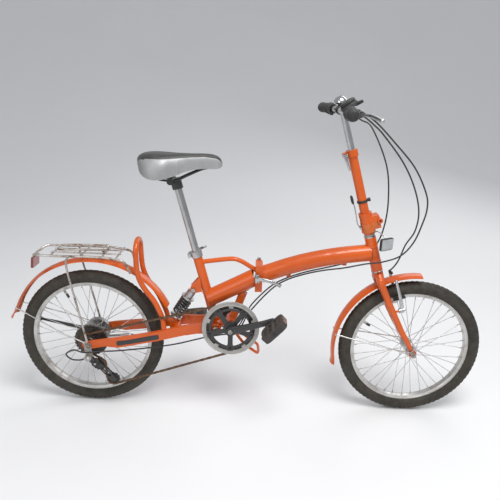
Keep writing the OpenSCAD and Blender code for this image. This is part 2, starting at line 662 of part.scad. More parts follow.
// front frame
arch = curve([[hinge_x + 9, 0, 505], [620, 0, 517], [680, 0, 540], [760, 0, 564], [850, 0, 583],
    [950, 0, 597]], 4);
module front_frame() placed() color(paint) difference() {
    union() {
        sweep(arch, main_d - 2, 32);
        hinge_leaf(1);
        knuckle(hinge_z - third / 2, hinge_z + third / 2);
        knuckle_web(1, hinge_z - third / 2, hinge_z + third / 2);
        on_steering() translate([0, 0, head_from]) cylinder(h = head_to - head_from, d = head_tube_d);
        translate([680, 0, 505]) cube([14, 12, 8], center = true);
        translate([866, 0, 554]) cube([14, 12, 8], center = true);
    }
    sweep([for (i = [1 : len(arch) - 1]) arch[i]], main_d - 2 - 2 * tube_wall, 32);
    leaf_window();
    translate([hinge_x, hinge_pin_y, 0]) cylinder(h = 2 * hinge_z, d = hinge_pin_d + 2 * fit);
    on_steering() translate([0, 0, -50]) cylinder(h = 260, d = 31);
    translate([hinge_x - 60 + split, -60, hinge_z - 100]) cube([60, 60 + hinge_pin_y - knuckle_d, 200]);
    for (z = [-1, 1]) translate([hinge_x - knuckle_d, hinge_pin_y - knuckle_d / 2 - 0.5,
        hinge_z - third / 2 + z * third]) cube([2 * knuckle_d, 2 * knuckle_d, third]);
}
module headset() placed() color(steel) on_steering() {
    translate([0, 0, head_from - 5]) ring(head_tube_d + 3, steerer_d + 2 * fit, 5);
    translate([0, 0, head_to]) ring(head_tube_d + 1, steerer_d + 2 * fit, 9);
}
// fork
function leg(side) = curve([[985, side * 24, 522], [989, side * fork_leg_y, 500],
    [1012, side * (fork_leg_y + 1), 452], [1040, side * 45, 398], [1074, side * 49, 335],
    [1098, side * fork_tip_y, 295], [1113, side * fork_tip_y, 268]], 4);
module fork() placed() color(paint) difference() {
    union() {
        on_steering() translate([0, 0, -12]) cylinder(h = stem_from + 12, d = steerer_d);
        on_steering() translate([0, 0, -12]) cylinder(h = 22, d = 36);
        for (side = [-1, 1]) {
            sweep(leg(side), 28, 20, 15);
            on_steering() brake_boss(side);
            across(front, side * fork_tip_y - 3, side * fork_tip_y + 3, 26);
        }
    }
    across(front, -80, 80, axle_front_d);
}
boss_s = -134;
boss_u = 45;
module brake_boss(side) translate([boss_u - 30, side * brake_y, boss_s]) rotate([0, 90, 0])
    cylinder(h = 42, d = boss_d);
fold_pin_d = 8;
module fold_knuckle(y, w, d) translate([fold_u, y, fold_s]) rotate([90, 0, 0])
    cylinder(h = w, d = d, center = true);
module stem_base() placed() color(paint) on_steering() difference() {
    union() {
        translate([0, 0, stem_from]) cylinder(h = 8, d = 34);
        translate([0, 0, stem_from + 8]) cylinder(h = fold_s - stem_from - 8 - split, d = 46);
        translate([0, -20, fold_s - 24]) cube([fold_u, 40, 24 - split]);
        fold_knuckle(0, 15, knuckle_d);
    }
    fold_knuckle(0, 80, fold_pin_d + 2 * fit);
    for (side = [-1, 1]) fold_knuckle(side * 16.5, 17.6, knuckle_d + 2);
    translate([-30, -10, fold_s - 20]) cube([16, 20, 30]);
}
module front_reflector() placed() {
    color("lightgrey") translate([985, -22, 634]) rotate([0, 0, -25]) translate([0, -28, -20]) cube([12, 56, 42]);
    color(steel) on_steering() translate([0, -3, head_to + 9.2]) difference() {
        cube([44, 10, 1.6]);
        translate([0, 3, -1]) cylinder(h = 4, d = steerer_d + 0.1);
    }
}
front_stay = [[wheelbase - 4, 60, 256], [1040, 54, 268], [940, 42, 286], [854, guard_w / 2, 303]];
module front_mudguard() placed() {
    color(paint) guard_arc(front, front_guard_r, 84, 194);
    color(steel) both() sweep(curve(front_stay, 4), 4, 8);
}
module front_axle() placed() color(steel) {
    across(front, -76, 76, axle_front_d);
    for (y = [60, -67]) across(front, y, y + 7, 15);
}
module brake_arm(side) on_steering() translate([boss_u, side * brake_y, boss_s]) difference() {
    union() {
        translate([-9, 0, 0]) rotate([0, 90, 0]) cylinder(h = 18, d = 16);
        hull() {
            rotate([0, 90, 0]) cylinder(h = 8, d = 13, $fn = 24);
            translate([0, 0, brake_arm_l]) rotate([0, 90, 0]) cylinder(h = 7, d = 9, $fn = 24);
        }
        translate([4, 4, pad_at]) rotate([90, 0, 0]) cylinder(h = 8, d = 8, center = true);
        translate([-16, -side * (brake_y - 14) - (side > 0 ? 0 : 10), pad_at - 6]) cube([44, 10, 8]);
        translate([4, 0, pad_at]) rotate([side * 90, 0, 0]) cylinder(h = brake_y - 20, d = 7);
    }
    translate([-30, 0, 0]) rotate([0, 90, 0]) cylinder(h = 60, d = boss_d + 2 * fit);
}
module brake_arm_left() placed() color(steel) brake_arm(1);
module brake_arm_right() placed() color(steel) brake_arm(-1);
// handle post
post_clamp_u = -post_d / 2 - 10;
post_clamp_s = post_to - 11;
module handlepost() placed() color(paint) on_steering() {
    handlepost_shell();
    translate([post_clamp_u, 13, post_clamp_s]) rotate([90, 0, 0]) {
        cylinder(h = 27, d = 5);
        translate([0, 0, -2]) cylinder(h = 5, d = 11);
    }
}
module handlepost_shell() difference() {
    union() {
        translate([0, 0, fold_s + split]) cylinder(h = 34, d = 44);
        translate([0, -20, fold_s + split]) cube([fold_u, 40, 20]);
        for (side = [-1, 1]) fold_knuckle(side * 16.5, 17, knuckle_d);
        translate([0, 0, fold_s + 20]) cylinder(h = post_to - fold_s - 20, d = post_d);
        translate([0, 0, post_to - collar_h]) cylinder(h = collar_h, d = post_d + 8);
        translate([-post_d / 2 - 16, -10, post_to - 18]) cube([18, 20, 14]);
    }
    fold_knuckle(0, 80, fold_pin_d);
    fold_knuckle(0, 15.6, knuckle_d + 2);
    translate([0, 0, fold_s + 40]) cylinder(h = post_to, d = post_bore_d);
    translate([-post_d, -1, post_to - 40]) cube([post_d, 2, 60]);
    translate([post_clamp_u, 30, post_clamp_s]) rotate([90, 0, 0]) cylinder(h = 60, d = 5);
    translate([-30, -10, fold_s - 4]) cube([16, 20, 26]);
}
module stem_lever() placed() on_steering() {
    color(steel) translate([-24, 9, fold_s - 12]) rotate([90, 0, 0]) cylinder(h = 18, d = 8);
    color(steel) translate([-31, -5, fold_s - 12]) cube([6, 10, 84]);
    color(black) difference() {
        translate([-36, -14, fold_s + 72]) cube([9, 28, 30]);
        translate([-40, -8, fold_s + 78]) cube([20, 16, 18]);
    }
}
module post_clamp_lever() placed() color(steel) on_steering() translate([post_clamp_u, -20, post_clamp_s]) {
    rotate([0, 90, 0]) cylinder(h = 14, d = 12, center = true);
    hull() {
        translate([-5, -6, -8]) cube([10, 6, 12]);
        translate([-1, -4, -50]) cube([8, 4, 10]);
    }
}
// handlebar
half_bar = bar_w / 2;
bar_mid_d = bar_d + 1.2; // the middle of the bar is a little thicker
module on_bar() on_steering() translate([0, 0, bar_s]) rotate([0, tilt, 0]) children();
module bar_side() translate([0, sweep_y, 0]) rotate([0, 0, bar_drop_angle]) children();
side_l = norm([half_bar - sweep_y, bar_back]);
module handlebar() placed() color(black) {
    on_bar() {
        rotate([90, 0, 0]) cylinder(h = 2 * sweep_y + 6, d = bar_mid_d, center = true);
        both() bar_side() rotate([-90, 0, 0]) cylinder(h = side_l - 4, d = bar_d);
    }
    on_steering() translate([0, 0, 345]) cylinder(h = bar_s - 345, d = bar_d);
}
module grip() difference() {
    union() {
        translate([0, side_l - grip_l, 0]) rotate([-90, 0, 0]) cylinder(h = grip_l, d = grip_d);
        translate([0, side_l - grip_l, 0]) rotate([-90, 0, 0]) cylinder(h = 6, d = grip_d + 8);
    }
    translate([0, -4, 0]) rotate([-90, 0, 0]) cylinder(h = side_l, d = bar_d);
}
module grips() placed() color(black) on_bar() both() bar_side() grip();
clamp_at = side_l - grip_l - 22;
lever_pivot = [34, clamp_at - 4, -4];
module bracket() difference() {
    union() {
        translate([0, clamp_at - 8, 0]) rotate([-90, 0, 0]) cylinder(h = 16, d = bar_d + 9);
        translate([8, clamp_at - 14, -10]) cube([30, 22, 12]);
    }
    translate([0, clamp_at - 30, 0]) rotate([-90, 0, 0]) cylinder(h = 60, d = bar_d);
    translate(lever_pivot + [0, 0, -20]) cylinder(h = 40, d = 5);
    translate([20, clamp_at - 16, -7.2]) cube([40, 40, 6.4]);
}
module lever() {
    difference() {
        union() {
            translate(lever_pivot + [0, 0, -2.8]) cylinder(h = 5.6, d = 13);
            hull() {
                translate(lever_pivot + [0, 0, -2.6]) cylinder(h = 5.2, d = 10, $fn = 24);
                translate([56, clamp_at + 26, -7]) cylinder(h = 6, d = 9, $fn = 24);
            }
            hull() {
                translate([56, clamp_at + 26, -7]) cylinder(h = 6, d = 9, $fn = 24);
                translate([74, clamp_at + 118, -16]) cylinder(h = 8, d = 9, $fn = 24);
            }
            translate([74, clamp_at + 118, -17]) cylinder(h = 10, d = 14);
        }
        translate(lever_pivot + [0, 0, -20]) cylinder(h = 40, d = 5 + 2 * fit);
    }
}
module brake_lever_left() placed() color(steel) on_bar() bar_side() lever();
module brake_lever_right() placed() color(steel) on_bar() mirror([0, 1, 0]) bar_side() lever();
pod_y = -112;
pod_tilt = 34;
module shifter() placed() color(black) on_bar() {
    both() bar_side() bracket();
    both() bar_side() translate(lever_pivot + [0, 0, -11]) cylinder(h = 14, d = 5);
    difference() {
        union() {
            translate([0, pod_y + 9, 0]) rotate([90, 0, 0]) cylinder(h = 16, d = 32);
            rotate([0, -pod_tilt, 0]) translate([8, pod_y, 10]) cylinder(h = 14, d = 52);
        }
        mirror([0, 1, 0]) bar_side() translate([0, -20, 0]) rotate([-90, 0, 0]) cylinder(h = 200, d = bar_d);
        rotate([90, 0, 0]) cylinder(h = 2 * sweep_y + 6, d = bar_mid_d, center = true);
        rotate([0, -pod_tilt, 0]) translate([8, pod_y, 19]) cylinder(h = 20, d = 10 + 2 * fit);
    }
}
module shift_dial() placed() color(black) on_bar() rotate([0, -pod_tilt, 0]) translate([8, pod_y, 0]) {
    translate([0, 0, 24.3]) cylinder(h = 8, d = 46);
    translate([0, 0, 19.2]) cylinder(h = 8, d = 10);
    translate([-40, -5, 25]) cube([22, 10, 5]);
}
bell_r = 22;
module bell() placed() color(steel) on_bar() {
    difference() {
        translate([0, 66, 0]) rotate([90, 0, 0]) cylinder(h = 12, d = bar_mid_d + 6);
        translate([0, 90, 0]) rotate([90, 0, 0]) cylinder(h = 60, d = bar_mid_d);
    }
    translate([0, 60, 0]) rotate_extrude() polygon(concat([[0, 12.5], [5, 12.5], [5, 22]],
        [for (a = [0 : 10 : 80]) [bell_r * cos(a), 22 + bell_r * sin(a)]], [[0, 22 + bell_r]]));
}
// cables, each in one piece from its lever to its end
brake_wire = curve([[838, -146, 1050], [862, -120, 1042], [900, -88, 1018], [938, -60, 988],
    [1015, -30, 905], [1063, -24, 824], [1088, -20, 747], [1086, -14, 681], [1064, -4, 629],
    [1052, 6, 575], [1040, 20, 540], [1032, 40, 520]], 3);
gear_wire = curve([[842, -112, 1062], [900, -90, 1030], [973, -50, 970], [1051, -36, 892],
    [1098, -36, 811], [1107, -38, 762], [1096, -44, 711], [1075, -48, 651], [1038, -50, 605], [984, -44, 580],
    [930, -36, 568], [863, -20, 546], [800, -10, 532], [735, -8, 515], [671, -8, 490], [620, -14, 455],
    [551, -18, 372], [530, -20, 330], [508, -16, 290], [470, -20, 285], [400, -40, 280], [300, -54, 258],
    [200, -68, 246], [100, -76, 236], [40, -88, 238], [-4, -99, 238], [-40, -98, 246], [-68, -92, 226],
    [-54, -86, 204], [-30, -84, 200], [-12, -84, 204]], 3);
rear_wire = curve([[838, 146, 1050], [862, 120, 1043], [896, 92, 1024], [930, 70, 1000],
    [981, 36, 886], [999, 32, 773],
    [996, 34, 680], [975, 38, 610], [930, 38, 568], [863, 22, 546], [800, 12, 532], [735, 10, 515],
    [671, 10, 490], [620, 16, 455], [560, 24, 385], [534, 30, 330], [500, 38, 280], [430, 50, 282],
    [340, 60, 262], [240, 70, 240], [170, 70, 226], [118, 62, 228]], 3);
module cables() placed() color(black) {
    sweep(brake_wire, 5, 6);
    sweep(gear_wire, 5, 6);
    sweep(rear_wire, 5, 6);
}
rear_frame();
bottom_bracket();
frame_pins();
frame_hinge_lever();
seat_clamp();
seat_clamp_lever();
seatpost();
saddle_rails();
saddle();
crank_axles();
crank_arms();
chainring();
chain_guard();
pedal_right();
pedal_left();
swingarm();
rear_mudguard();
rack();
rack_clip();
rear_reflector();
rear_axle();
rear_brake();
derailleur_body();
derailleur_cage();
pulley_top();
pulley_bottom();
kickstand();
shock_body();
shock_shaft();
shock_spring();
rear_tyre();
rear_rim();
rear_spokes();
rear_hub();
sprockets();
chain();
front_frame();
headset();
fork();
stem_base();
front_reflector();
front_mudguard();
front_axle();
brake_arm_left();
brake_arm_right();
front_tyre();
front_rim();
front_spokes();
front_hub();
handlepost();
stem_lever();
post_clamp_lever();
handlebar();
grips();
brake_lever_left();
brake_lever_right();
shifter();
shift_dial();
bell();
cables();
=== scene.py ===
import math
import bmesh
import bpy
import numpy as np
from mathutils import Matrix


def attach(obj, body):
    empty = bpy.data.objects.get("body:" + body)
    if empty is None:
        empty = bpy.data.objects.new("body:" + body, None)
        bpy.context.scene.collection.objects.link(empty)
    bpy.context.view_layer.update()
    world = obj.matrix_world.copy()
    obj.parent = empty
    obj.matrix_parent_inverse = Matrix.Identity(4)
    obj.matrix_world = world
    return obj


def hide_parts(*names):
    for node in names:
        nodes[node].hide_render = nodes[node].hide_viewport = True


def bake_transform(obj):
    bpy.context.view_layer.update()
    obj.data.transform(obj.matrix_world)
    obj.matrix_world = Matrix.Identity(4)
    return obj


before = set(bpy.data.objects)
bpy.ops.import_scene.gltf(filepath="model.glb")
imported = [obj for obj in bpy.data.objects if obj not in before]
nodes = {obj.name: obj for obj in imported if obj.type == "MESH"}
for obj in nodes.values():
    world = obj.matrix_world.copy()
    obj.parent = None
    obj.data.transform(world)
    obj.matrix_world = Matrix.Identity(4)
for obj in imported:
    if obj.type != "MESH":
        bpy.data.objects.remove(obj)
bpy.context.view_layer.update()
print("frame loaded")


# the direction at an angle above the ground, in the plane of the wheels
def ray(angle):
    return np.array([math.cos(angle), 0.0, math.sin(angle)])


# shapes are worked out in millimetres, with x counted forward from the rear axle
originX = 550.4475
wheelbase = 1123.0
axleZ = 250.0
rearAxle = np.array([0.0, 0.0, axleZ])
frontAxle = np.array([wheelbase, 0.0, axleZ])
crankAt = np.array([488.0, 0.0, 325.0])
crankAngle = math.radians(16.5)
steerFoot = np.array([984.3, 0.0, 522.0])
steerTilt = math.radians(17.4)
steerFwd = ray(steerTilt)
steerUp = np.array([-math.sin(steerTilt), 0.0, math.cos(steerTilt)])
seatFoot = np.array([436.0, 0.0, 316.0])
seatTilt = math.radians(15.5)
seatFwd = ray(seatTilt)
seatUp = np.array([-math.sin(seatTilt), 0.0, math.cos(seatTilt)])
sideways = np.array([0.0, 1.0, 0.0])
upright = np.array([0.0, 0.0, 1.0])
barCentre = steerFoot + 558.0 * steerUp
chainY = -50.0
topPulley = np.array([30.0, chainY, 168.0])
lowPulley = np.array([78.0, chainY, 113.0])


# a point of the steering frame: foot + u * forward + y * left + s * up
def onSteering(u, y, s):
    return steerFoot + u * steerFwd + y * sideways + s * steerUp


# a point of the seat tube's frame, in the same way
def onSeat(u, y, s):
    return seatFoot + u * seatFwd + y * sideways + s * seatUp


# faces of a grid: cell (i, j) joins its four corners, and a wrapped side meets itself
def gridFaces(rows, cols, wrapRows=False, wrapCols=False):
    i, j = np.meshgrid(np.arange(rows if wrapRows else rows - 1),
                       np.arange(cols if wrapCols else cols - 1), indexing="ij")
    i2, j2 = (i + 1) % rows, (j + 1) % cols
    quads = np.stack([i * cols + j, i2 * cols + j, i2 * cols + j2, i * cols + j2], -1)
    return quads.reshape(-1, 4)


# a shell is a pair (points, faces); a grid's end rows may close to their own middles
def gridShell(grid, wrapRows=False, caps=True):
    rows, cols = grid.shape[:2]
    points = grid.reshape(-1, 3)
    faces = gridFaces(rows, cols, wrapRows, True).tolist()
    if caps and not wrapRows:
        k = np.arange(cols)
        points = np.vstack([points, grid[0].mean(0), grid[-1].mean(0)])
        first, last = rows * cols, rows * cols + 1
        base = (rows - 1) * cols
        faces += np.stack([k, (k + 1) % cols, np.full(cols, first)], -1).tolist()
        faces += np.stack([base + (k + 1) % cols, base + k, np.full(cols, last)], -1).tolist()
    return points, faces


def joined(shells):
    points, faces, base = [], [], 0
    for p, f in shells:
        points.append(p)
        faces += [[base + v for v in face] for face in f]
        base += len(p)
    return np.vstack(points), faces


def turned(shell, axis, angle, about):
    m = np.array(Matrix.Rotation(angle, 3, axis))
    return (shell[0] - about) @ m.T + about, shell[1]


def mirrored(shell):
    return shell[0] * [1, -1, 1], [face[::-1] for face in shell[1]]


def moved(shell, by):
    return shell[0] + np.asarray(by, float), shell[1]


# a smooth line through points: Catmull-Rom pieces, each n steps long
def smooth(points, n=8, closed=False):
    p = np.array(points, float)
    if closed:
        a, b, c, d = np.roll(p, 1, 0), p, np.roll(p, -1, 0), np.roll(p, -2, 0)
    else:
        e = np.vstack([p[:1], p, p[-1:]])
        a, b, c, d = e[:-3], e[1:-2], e[2:-1], e[3:]
    t = (np.arange(n) / n)[None, :, None]
    a, b, c, d = a[:, None], b[:, None], c[:, None], d[:, None]
    line = 0.5 * (2 * b + (c - a) * t + (2 * a - 5 * b + 4 * c - d) * t ** 2
                  + (3 * b - a - 3 * c + d) * t ** 3)
    line = line.reshape(-1, p.shape[1])
    return line if closed else np.vstack([line, p[-1:]])


def tangents(path, closed):
    if closed:
        d = np.roll(path, -1, 0) - np.roll(path, 1, 0)
    else:
        d = np.gradient(path, axis=0)
    return d / np.linalg.norm(d, axis=1, keepdims=True)


# a section carried along a path: centre + wide * cos(a) * across + tall * sin(a) * up,
# where a power above 2 squares the section off; rounded ends shrink over their last rings
def sweep(path, wide, tall=None, up=None, power=2.0, sides=16, closed=False, round=0.0):
    path = np.array(path, float)
    if round > 0 and not closed:
        a = np.linspace(0, math.pi / 2, 5)[1:]
        d0 = path[0] - path[1]
        d1 = path[-1] - path[-2]
        d0, d1 = d0 / np.linalg.norm(d0), d1 / np.linalg.norm(d1)
        lead = path[0] + round * np.sin(a)[::-1, None] * d0
        tail = path[-1] + round * np.sin(a)[:, None] * d1
        path = np.vstack([lead, path, tail])
    n = len(path)
    given = n if round <= 0 or closed else n - 8
    wide = np.broadcast_to(np.asarray(wide, float), (given,))
    tall = wide if tall is None else np.broadcast_to(np.asarray(tall, float), wide.shape)
    if round > 0 and not closed:
        c = 1 - np.cos(a)
        wide = np.hstack([wide[0] - round * c[::-1], wide, wide[-1] - round * c])
        tall = np.hstack([tall[0] - round * c[::-1], tall, tall[-1] - round * c])
        wide, tall = np.maximum(wide, 0.05), np.maximum(tall, 0.05)
    t = tangents(path, closed)
    if up is None:
        options = np.eye(3)
        up = options[np.argmin(np.abs(t @ options.T).max(0))]
    across = np.cross(np.asarray(up, float), t)
    across /= np.linalg.norm(across, axis=1, keepdims=True)
    top = np.cross(t, across)
    angle = np.arange(sides) * 2 * math.pi / sides
    c, s = np.cos(angle), np.sin(angle)
    c = np.sign(c) * np.abs(c) ** (2 / power)
    s = np.sign(s) * np.abs(s) ** (2 / power)
    grid = (path[:, None] + (wide[:, None] * c)[..., None] * across[:, None]
            + (tall[:, None] * s)[..., None] * top[:, None])
    return gridShell(grid, wrapRows=closed, caps=not closed)


# a profile of (radius, height) turned round an axis
def lathe(profile, centre, axis, sides=48, closed=False, ripple=None):
    profile = np.array(profile, float)
    axis = np.asarray(axis, float) / np.linalg.norm(axis)
    side = np.cross(axis, [1, 0, 0] if abs(axis[0]) < 0.8 else [0, 0, 1])
    side /= np.linalg.norm(side)
    other = np.cross(axis, side)
    a = np.arange(sides) * 2 * math.pi / sides
    r = np.repeat(profile[:, :1], sides, 1)
    if ripple is not None:
        r = r + ripple(np.arange(len(profile))[:, None], a[None, :])
    around = np.cos(a)[:, None] * side + np.sin(a)[:, None] * other
    grid = np.asarray(centre, float) + r[..., None] * around + profile[:, 1][:, None, None] * axis
    return gridShell(grid, wrapRows=closed, caps=not closed)


# a box with soft edges: a superellipsoid, half * (cos u cos v, cos u sin v, sin u) to a power
def softBox(centre, half, power=5.0, turn=None, rows=17, cols=32):
    u = np.linspace(-math.pi / 2, math.pi / 2, rows)[1:-1, None]
    v = np.arange(cols)[None, :] * 2 * math.pi / cols

    def soft(x):
        return np.sign(x) * np.abs(x) ** (2 / power)
    grid = np.stack([soft(np.cos(u)) * soft(np.cos(v)), soft(np.cos(u)) * soft(np.sin(v)),
                     soft(np.sin(u)) * np.ones_like(v)], -1) * np.asarray(half, float)
    if turn is not None:
        grid = grid @ np.array(turn, float)
    return gridShell(grid + np.asarray(centre, float))


# a flat ring about the Y axis: radii are functions of the angle, edges bevelled by b
def flatRing(centre, inner, outer, y0, y1, sides=120, bevel=0.4):
    a = np.arange(sides) * 2 * math.pi / sides
    ri = inner(a) if callable(inner) else np.full(sides, float(inner))
    ro = outer(a) if callable(outer) else np.full(sides, float(outer))
    rows = [(ri + bevel, y0), (ro - bevel, y0), (ro, y0 + bevel), (ro, y1 - bevel),
            (ro - bevel, y1), (ri + bevel, y1), (ri, y1 - bevel), (ri, y0 + bevel)]
    grid = np.stack([np.stack([r * np.cos(a), np.full(sides, y), r * np.sin(a)], -1)
                     for r, y in rows])
    return gridShell(grid + np.asarray(centre, float), wrapRows=True)


# a plate between two faces: an outline in the XZ plane, its edges bevelled, from y0 to y1
def plate(outline, y0, y1, bevel=0.5):
    p = np.array(outline, float)
    middle = p.mean(0)
    d = tangents(p, True)
    inward = np.stack([-d[:, 1], d[:, 0]], -1)
    if (inward * (middle - p)).sum() < 0:
        inward = -inward
    rows = [(p + bevel * inward, y0), (p, y0 + bevel), (p, y1 - bevel), (p + bevel * inward, y1)]
    grid = np.stack([np.stack([q[:, 0], np.full(len(q), y), q[:, 1]], -1) for q, y in rows])
    return gridShell(grid)


def hexNut(centre, axis, flats, height, bore=0.0):
    r = flats / math.sqrt(3)
    c = 0.12 * flats
    rows = [(r - c, -height / 2), (r, -height / 2 + 0.35 * c), (r, height / 2 - 0.35 * c),
            (r - c, height / 2)]
    if bore > 0:
        rows += [(bore / 2, height / 2), (bore / 2, -height / 2)]
    return lathe(rows, centre, axis, sides=6, closed=bore > 0)


# a bolt head: a low dome with a hexagon socket
def boltHead(centre, axis, d, height):
    r = d / 2
    rows = [(r, 0), (r, height * 0.5), (r * 0.9, height * 0.85), (r * 0.7, height),
            (r * 0.45, height), (r * 0.42, height * 0.45)]
    return lathe(rows, centre, axis, sides=18)


# the line where a tube of radius r about (p, d) meets a cylinder of radius r2 about (q, e)
def meeting(p, d, r, q, e, r2, side=1):
    p, d, q, e = (np.array(v, float) for v in (p, d, q, e))
    d /= np.linalg.norm(d)
    e /= np.linalg.norm(e)
    n1 = np.cross(d, [0.3, 1, 0.1])
    n1 /= np.linalg.norm(n1)
    n2 = np.cross(d, n1)
    a = np.arange(48) * 2 * math.pi / 48
    start = p + r * (np.cos(a)[:, None] * n1 + np.sin(a)[:, None] * n2)
    w = start - q
    wp = w - (w @ e)[:, None] * e
    dp = d - (d @ e) * e
    square, single, rest = dp @ dp, 2 * wp @ dp, (wp * wp).sum(1) - r2 * r2
    root = np.sqrt(np.maximum(single * single - 4 * square * rest, 0))
    t = (-single + side * root) / (2 * square)
    return start + t[:, None] * d


# a welded seam: a bead whose thickness ripples along its length
def weld(line, bead=2.0, step=3.2):
    d = np.linalg.norm(np.roll(line, -1, 0) - line, axis=1)
    n = max(24, int(d.sum() / step * 4))
    s = np.linspace(0, d.sum(), n, endpoint=False)
    along = np.concatenate([[0], np.cumsum(d)])
    ends = np.vstack([line, line[:1]])
    path = np.stack([np.interp(s, along, ends[:, k]) for k in range(3)], -1)
    turns = n // 4
    radius = bead * (1 + 0.16 * np.sin(np.arange(n) * 2 * math.pi * turns / n))
    return sweep(path, radius, sides=8, closed=True)


def inScene(name, data):
    made = bpy.data.objects.new(name, data)
    bpy.context.scene.collection.objects.link(made)
    return made


# puts a shell, or a list of them, into the scene in metres,
# outward-facing and smooth but for sharp edges
def addPiece(name, shell, material, body, replaces=(), sharp=35):
    points, faces = joined(shell) if isinstance(shell, list) else shell
    mesh = bpy.data.meshes.new(name)
    place = (points - [originX, 0, 0]) / 1000
    mesh.from_pydata(place.tolist(), [], faces)
    work = bmesh.new()
    work.from_mesh(mesh)
    bmesh.ops.remove_doubles(work, verts=work.verts, dist=1e-6)
    bmesh.ops.dissolve_degenerate(work, edges=work.edges, dist=1e-6)
    bmesh.ops.recalc_face_normals(work, faces=work.faces)
    work.to_mesh(mesh)
    work.free()
    mesh.polygons.foreach_set("use_smooth", [True] * len(mesh.polygons))
    mesh.set_sharp_from_angle(angle=math.radians(sharp))
    mesh.materials.append(material)
    piece = inScene(name, mesh)
    if body:
        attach(piece, body)
    if replaces:
        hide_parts(*replaces)
    return piece


# camera
cameraPlace = {"at": (-0.0158, -1.6395, 1.1083), "down": 17.50, "yaw": 0.36, "roll": 2.12,
               "lens": 36.73}
yaw, down, roll = (math.radians(cameraPlace[k]) for k in ("yaw", "down", "roll"))
look = np.array([math.sin(yaw) * math.cos(down), math.cos(yaw) * math.cos(down),
                 -math.sin(down)])
level = np.array([math.cos(yaw), -math.sin(yaw), 0.0])
above = np.cross(level, look)
right = math.cos(roll) * level + math.sin(roll) * above
top = -math.sin(roll) * level + math.cos(roll) * above
cameraData = bpy.data.cameras.new("camera")
cameraData.lens = cameraPlace["lens"]
cameraData.sensor_width = 36.0
camera = inScene("camera", cameraData)
turn = Matrix((right, top, -look)).transposed().to_4x4()
camera.matrix_world = Matrix.Translation(cameraPlace["at"]) @ turn
bpy.context.scene.camera = camera


# materials: every surface is a principled shader fed by noise in object coordinates
def newMaterial(name):
    material = bpy.data.materials.new(name)
    material.use_nodes = True
    tree = material.node_tree
    shader = tree.nodes["Principled BSDF"]
    where = tree.nodes.new("ShaderNodeTexCoord").outputs["Object"]
    return material, tree, shader, where


def noise(tree, where, scale, detail=4.0, rough=0.55):
    node = tree.nodes.new("ShaderNodeTexNoise")
    node.inputs["Scale"].default_value = scale
    node.inputs["Detail"].default_value = detail
    node.inputs["Roughness"].default_value = rough
    tree.links.new(where, node.inputs["Vector"])
    return node.outputs["Fac"]


def spread(tree, value, low, high, toLow=0.0, toHigh=1.0):
    node = tree.nodes.new("ShaderNodeMapRange")
    node.clamp = True
    for key, number in (("From Min", low), ("From Max", high), ("To Min", toLow),
                        ("To Max", toHigh)):
        node.inputs[key].default_value = number
    tree.links.new(value, node.inputs["Value"])
    return node.outputs["Result"]


def times(tree, a, b):
    node = tree.nodes.new("ShaderNodeMath")
    node.operation = "MULTIPLY"
    tree.links.new(a, node.inputs[0])
    if isinstance(b, float):
        node.inputs[1].default_value = b
    else:
        tree.links.new(b, node.inputs[1])
    return node.outputs[0]


def mixed(tree, factor, a, b):
    node = tree.nodes.new("ShaderNodeMix")
    node.data_type = "RGBA"
    tree.links.new(factor, node.inputs["Factor"])
    for key, value in ((6, a), (7, b)):
        if isinstance(value, tuple):
            node.inputs[key].default_value = (*value, 1.0)
        else:
            tree.links.new(value, node.inputs[key])
    return node.outputs[2]


dirtRoughness = 0.8
mud = (0.10, 0.066, 0.038)
paleDust = (0.42, 0.36, 0.29)


# one finish: two close tones and the size of their patches, the low and high roughness, fine
# relief (depth, scale), dirt (tone, scale, low, high, most), dust on faces that look up, and
# a clear coat (weight, roughness)
def finish(name, tone, tone2, mottle, rough, metal=0.0, grain=None, dirt=None, dust=0.0,
           coat=(0.0, 0.1), sheen=0.0, specular=0.5):
    material, tree, shader, where = newMaterial(name)
    base = mixed(tree, spread(tree, noise(tree, where, mottle, 5.0), 0.35, 0.65), tone, tone2)
    roughness = spread(tree, noise(tree, where, 30.0, 4.0, 0.6), 0.3, 0.7, *rough)
    if dirt:
        dirtTone, scale, low, high, most = dirt
        patch = spread(tree, noise(tree, where, scale, 8.0, 0.68), low, high, 0.0, most)
        base = mixed(tree, patch, base, dirtTone)
        lift = tree.nodes.new("ShaderNodeMix")
        lift.data_type = "FLOAT"
        tree.links.new(patch, lift.inputs["Factor"])
        tree.links.new(roughness, lift.inputs[2])
        lift.inputs[3].default_value = dirtRoughness
        roughness = lift.outputs[0]
    if dust:
        facing = tree.nodes.new("ShaderNodeNewGeometry").outputs["Normal"]
        split = tree.nodes.new("ShaderNodeSeparateXYZ")
        tree.links.new(facing, split.inputs[0])
        upward = spread(tree, split.outputs["Z"], 0.2, 1.0, 0.0, dust)
        speck = spread(tree, noise(tree, where, 60.0, 6.0, 0.7), 0.3, 0.75)
        base = mixed(tree, times(tree, upward, speck), base, paleDust)
    tree.links.new(base, shader.inputs["Base Color"])
    tree.links.new(roughness, shader.inputs["Roughness"])
    shader.inputs["Metallic"].default_value = metal
    shader.inputs["Coat Weight"].default_value, shader.inputs["Coat Roughness"].default_value = coat
    shader.inputs["Sheen Weight"].default_value = sheen
    shader.inputs["Specular IOR Level"].default_value = specular
    if grain:
        bump = tree.nodes.new("ShaderNodeBump")
        bump.inputs["Strength"].default_value = 0.6
        bump.inputs["Distance"].default_value = grain[0]
        tree.links.new(noise(tree, where, grain[1], 3.0, 0.5), bump.inputs["Height"])
        tree.links.new(bump.outputs["Normal"], shader.inputs["Normal"])
    return material


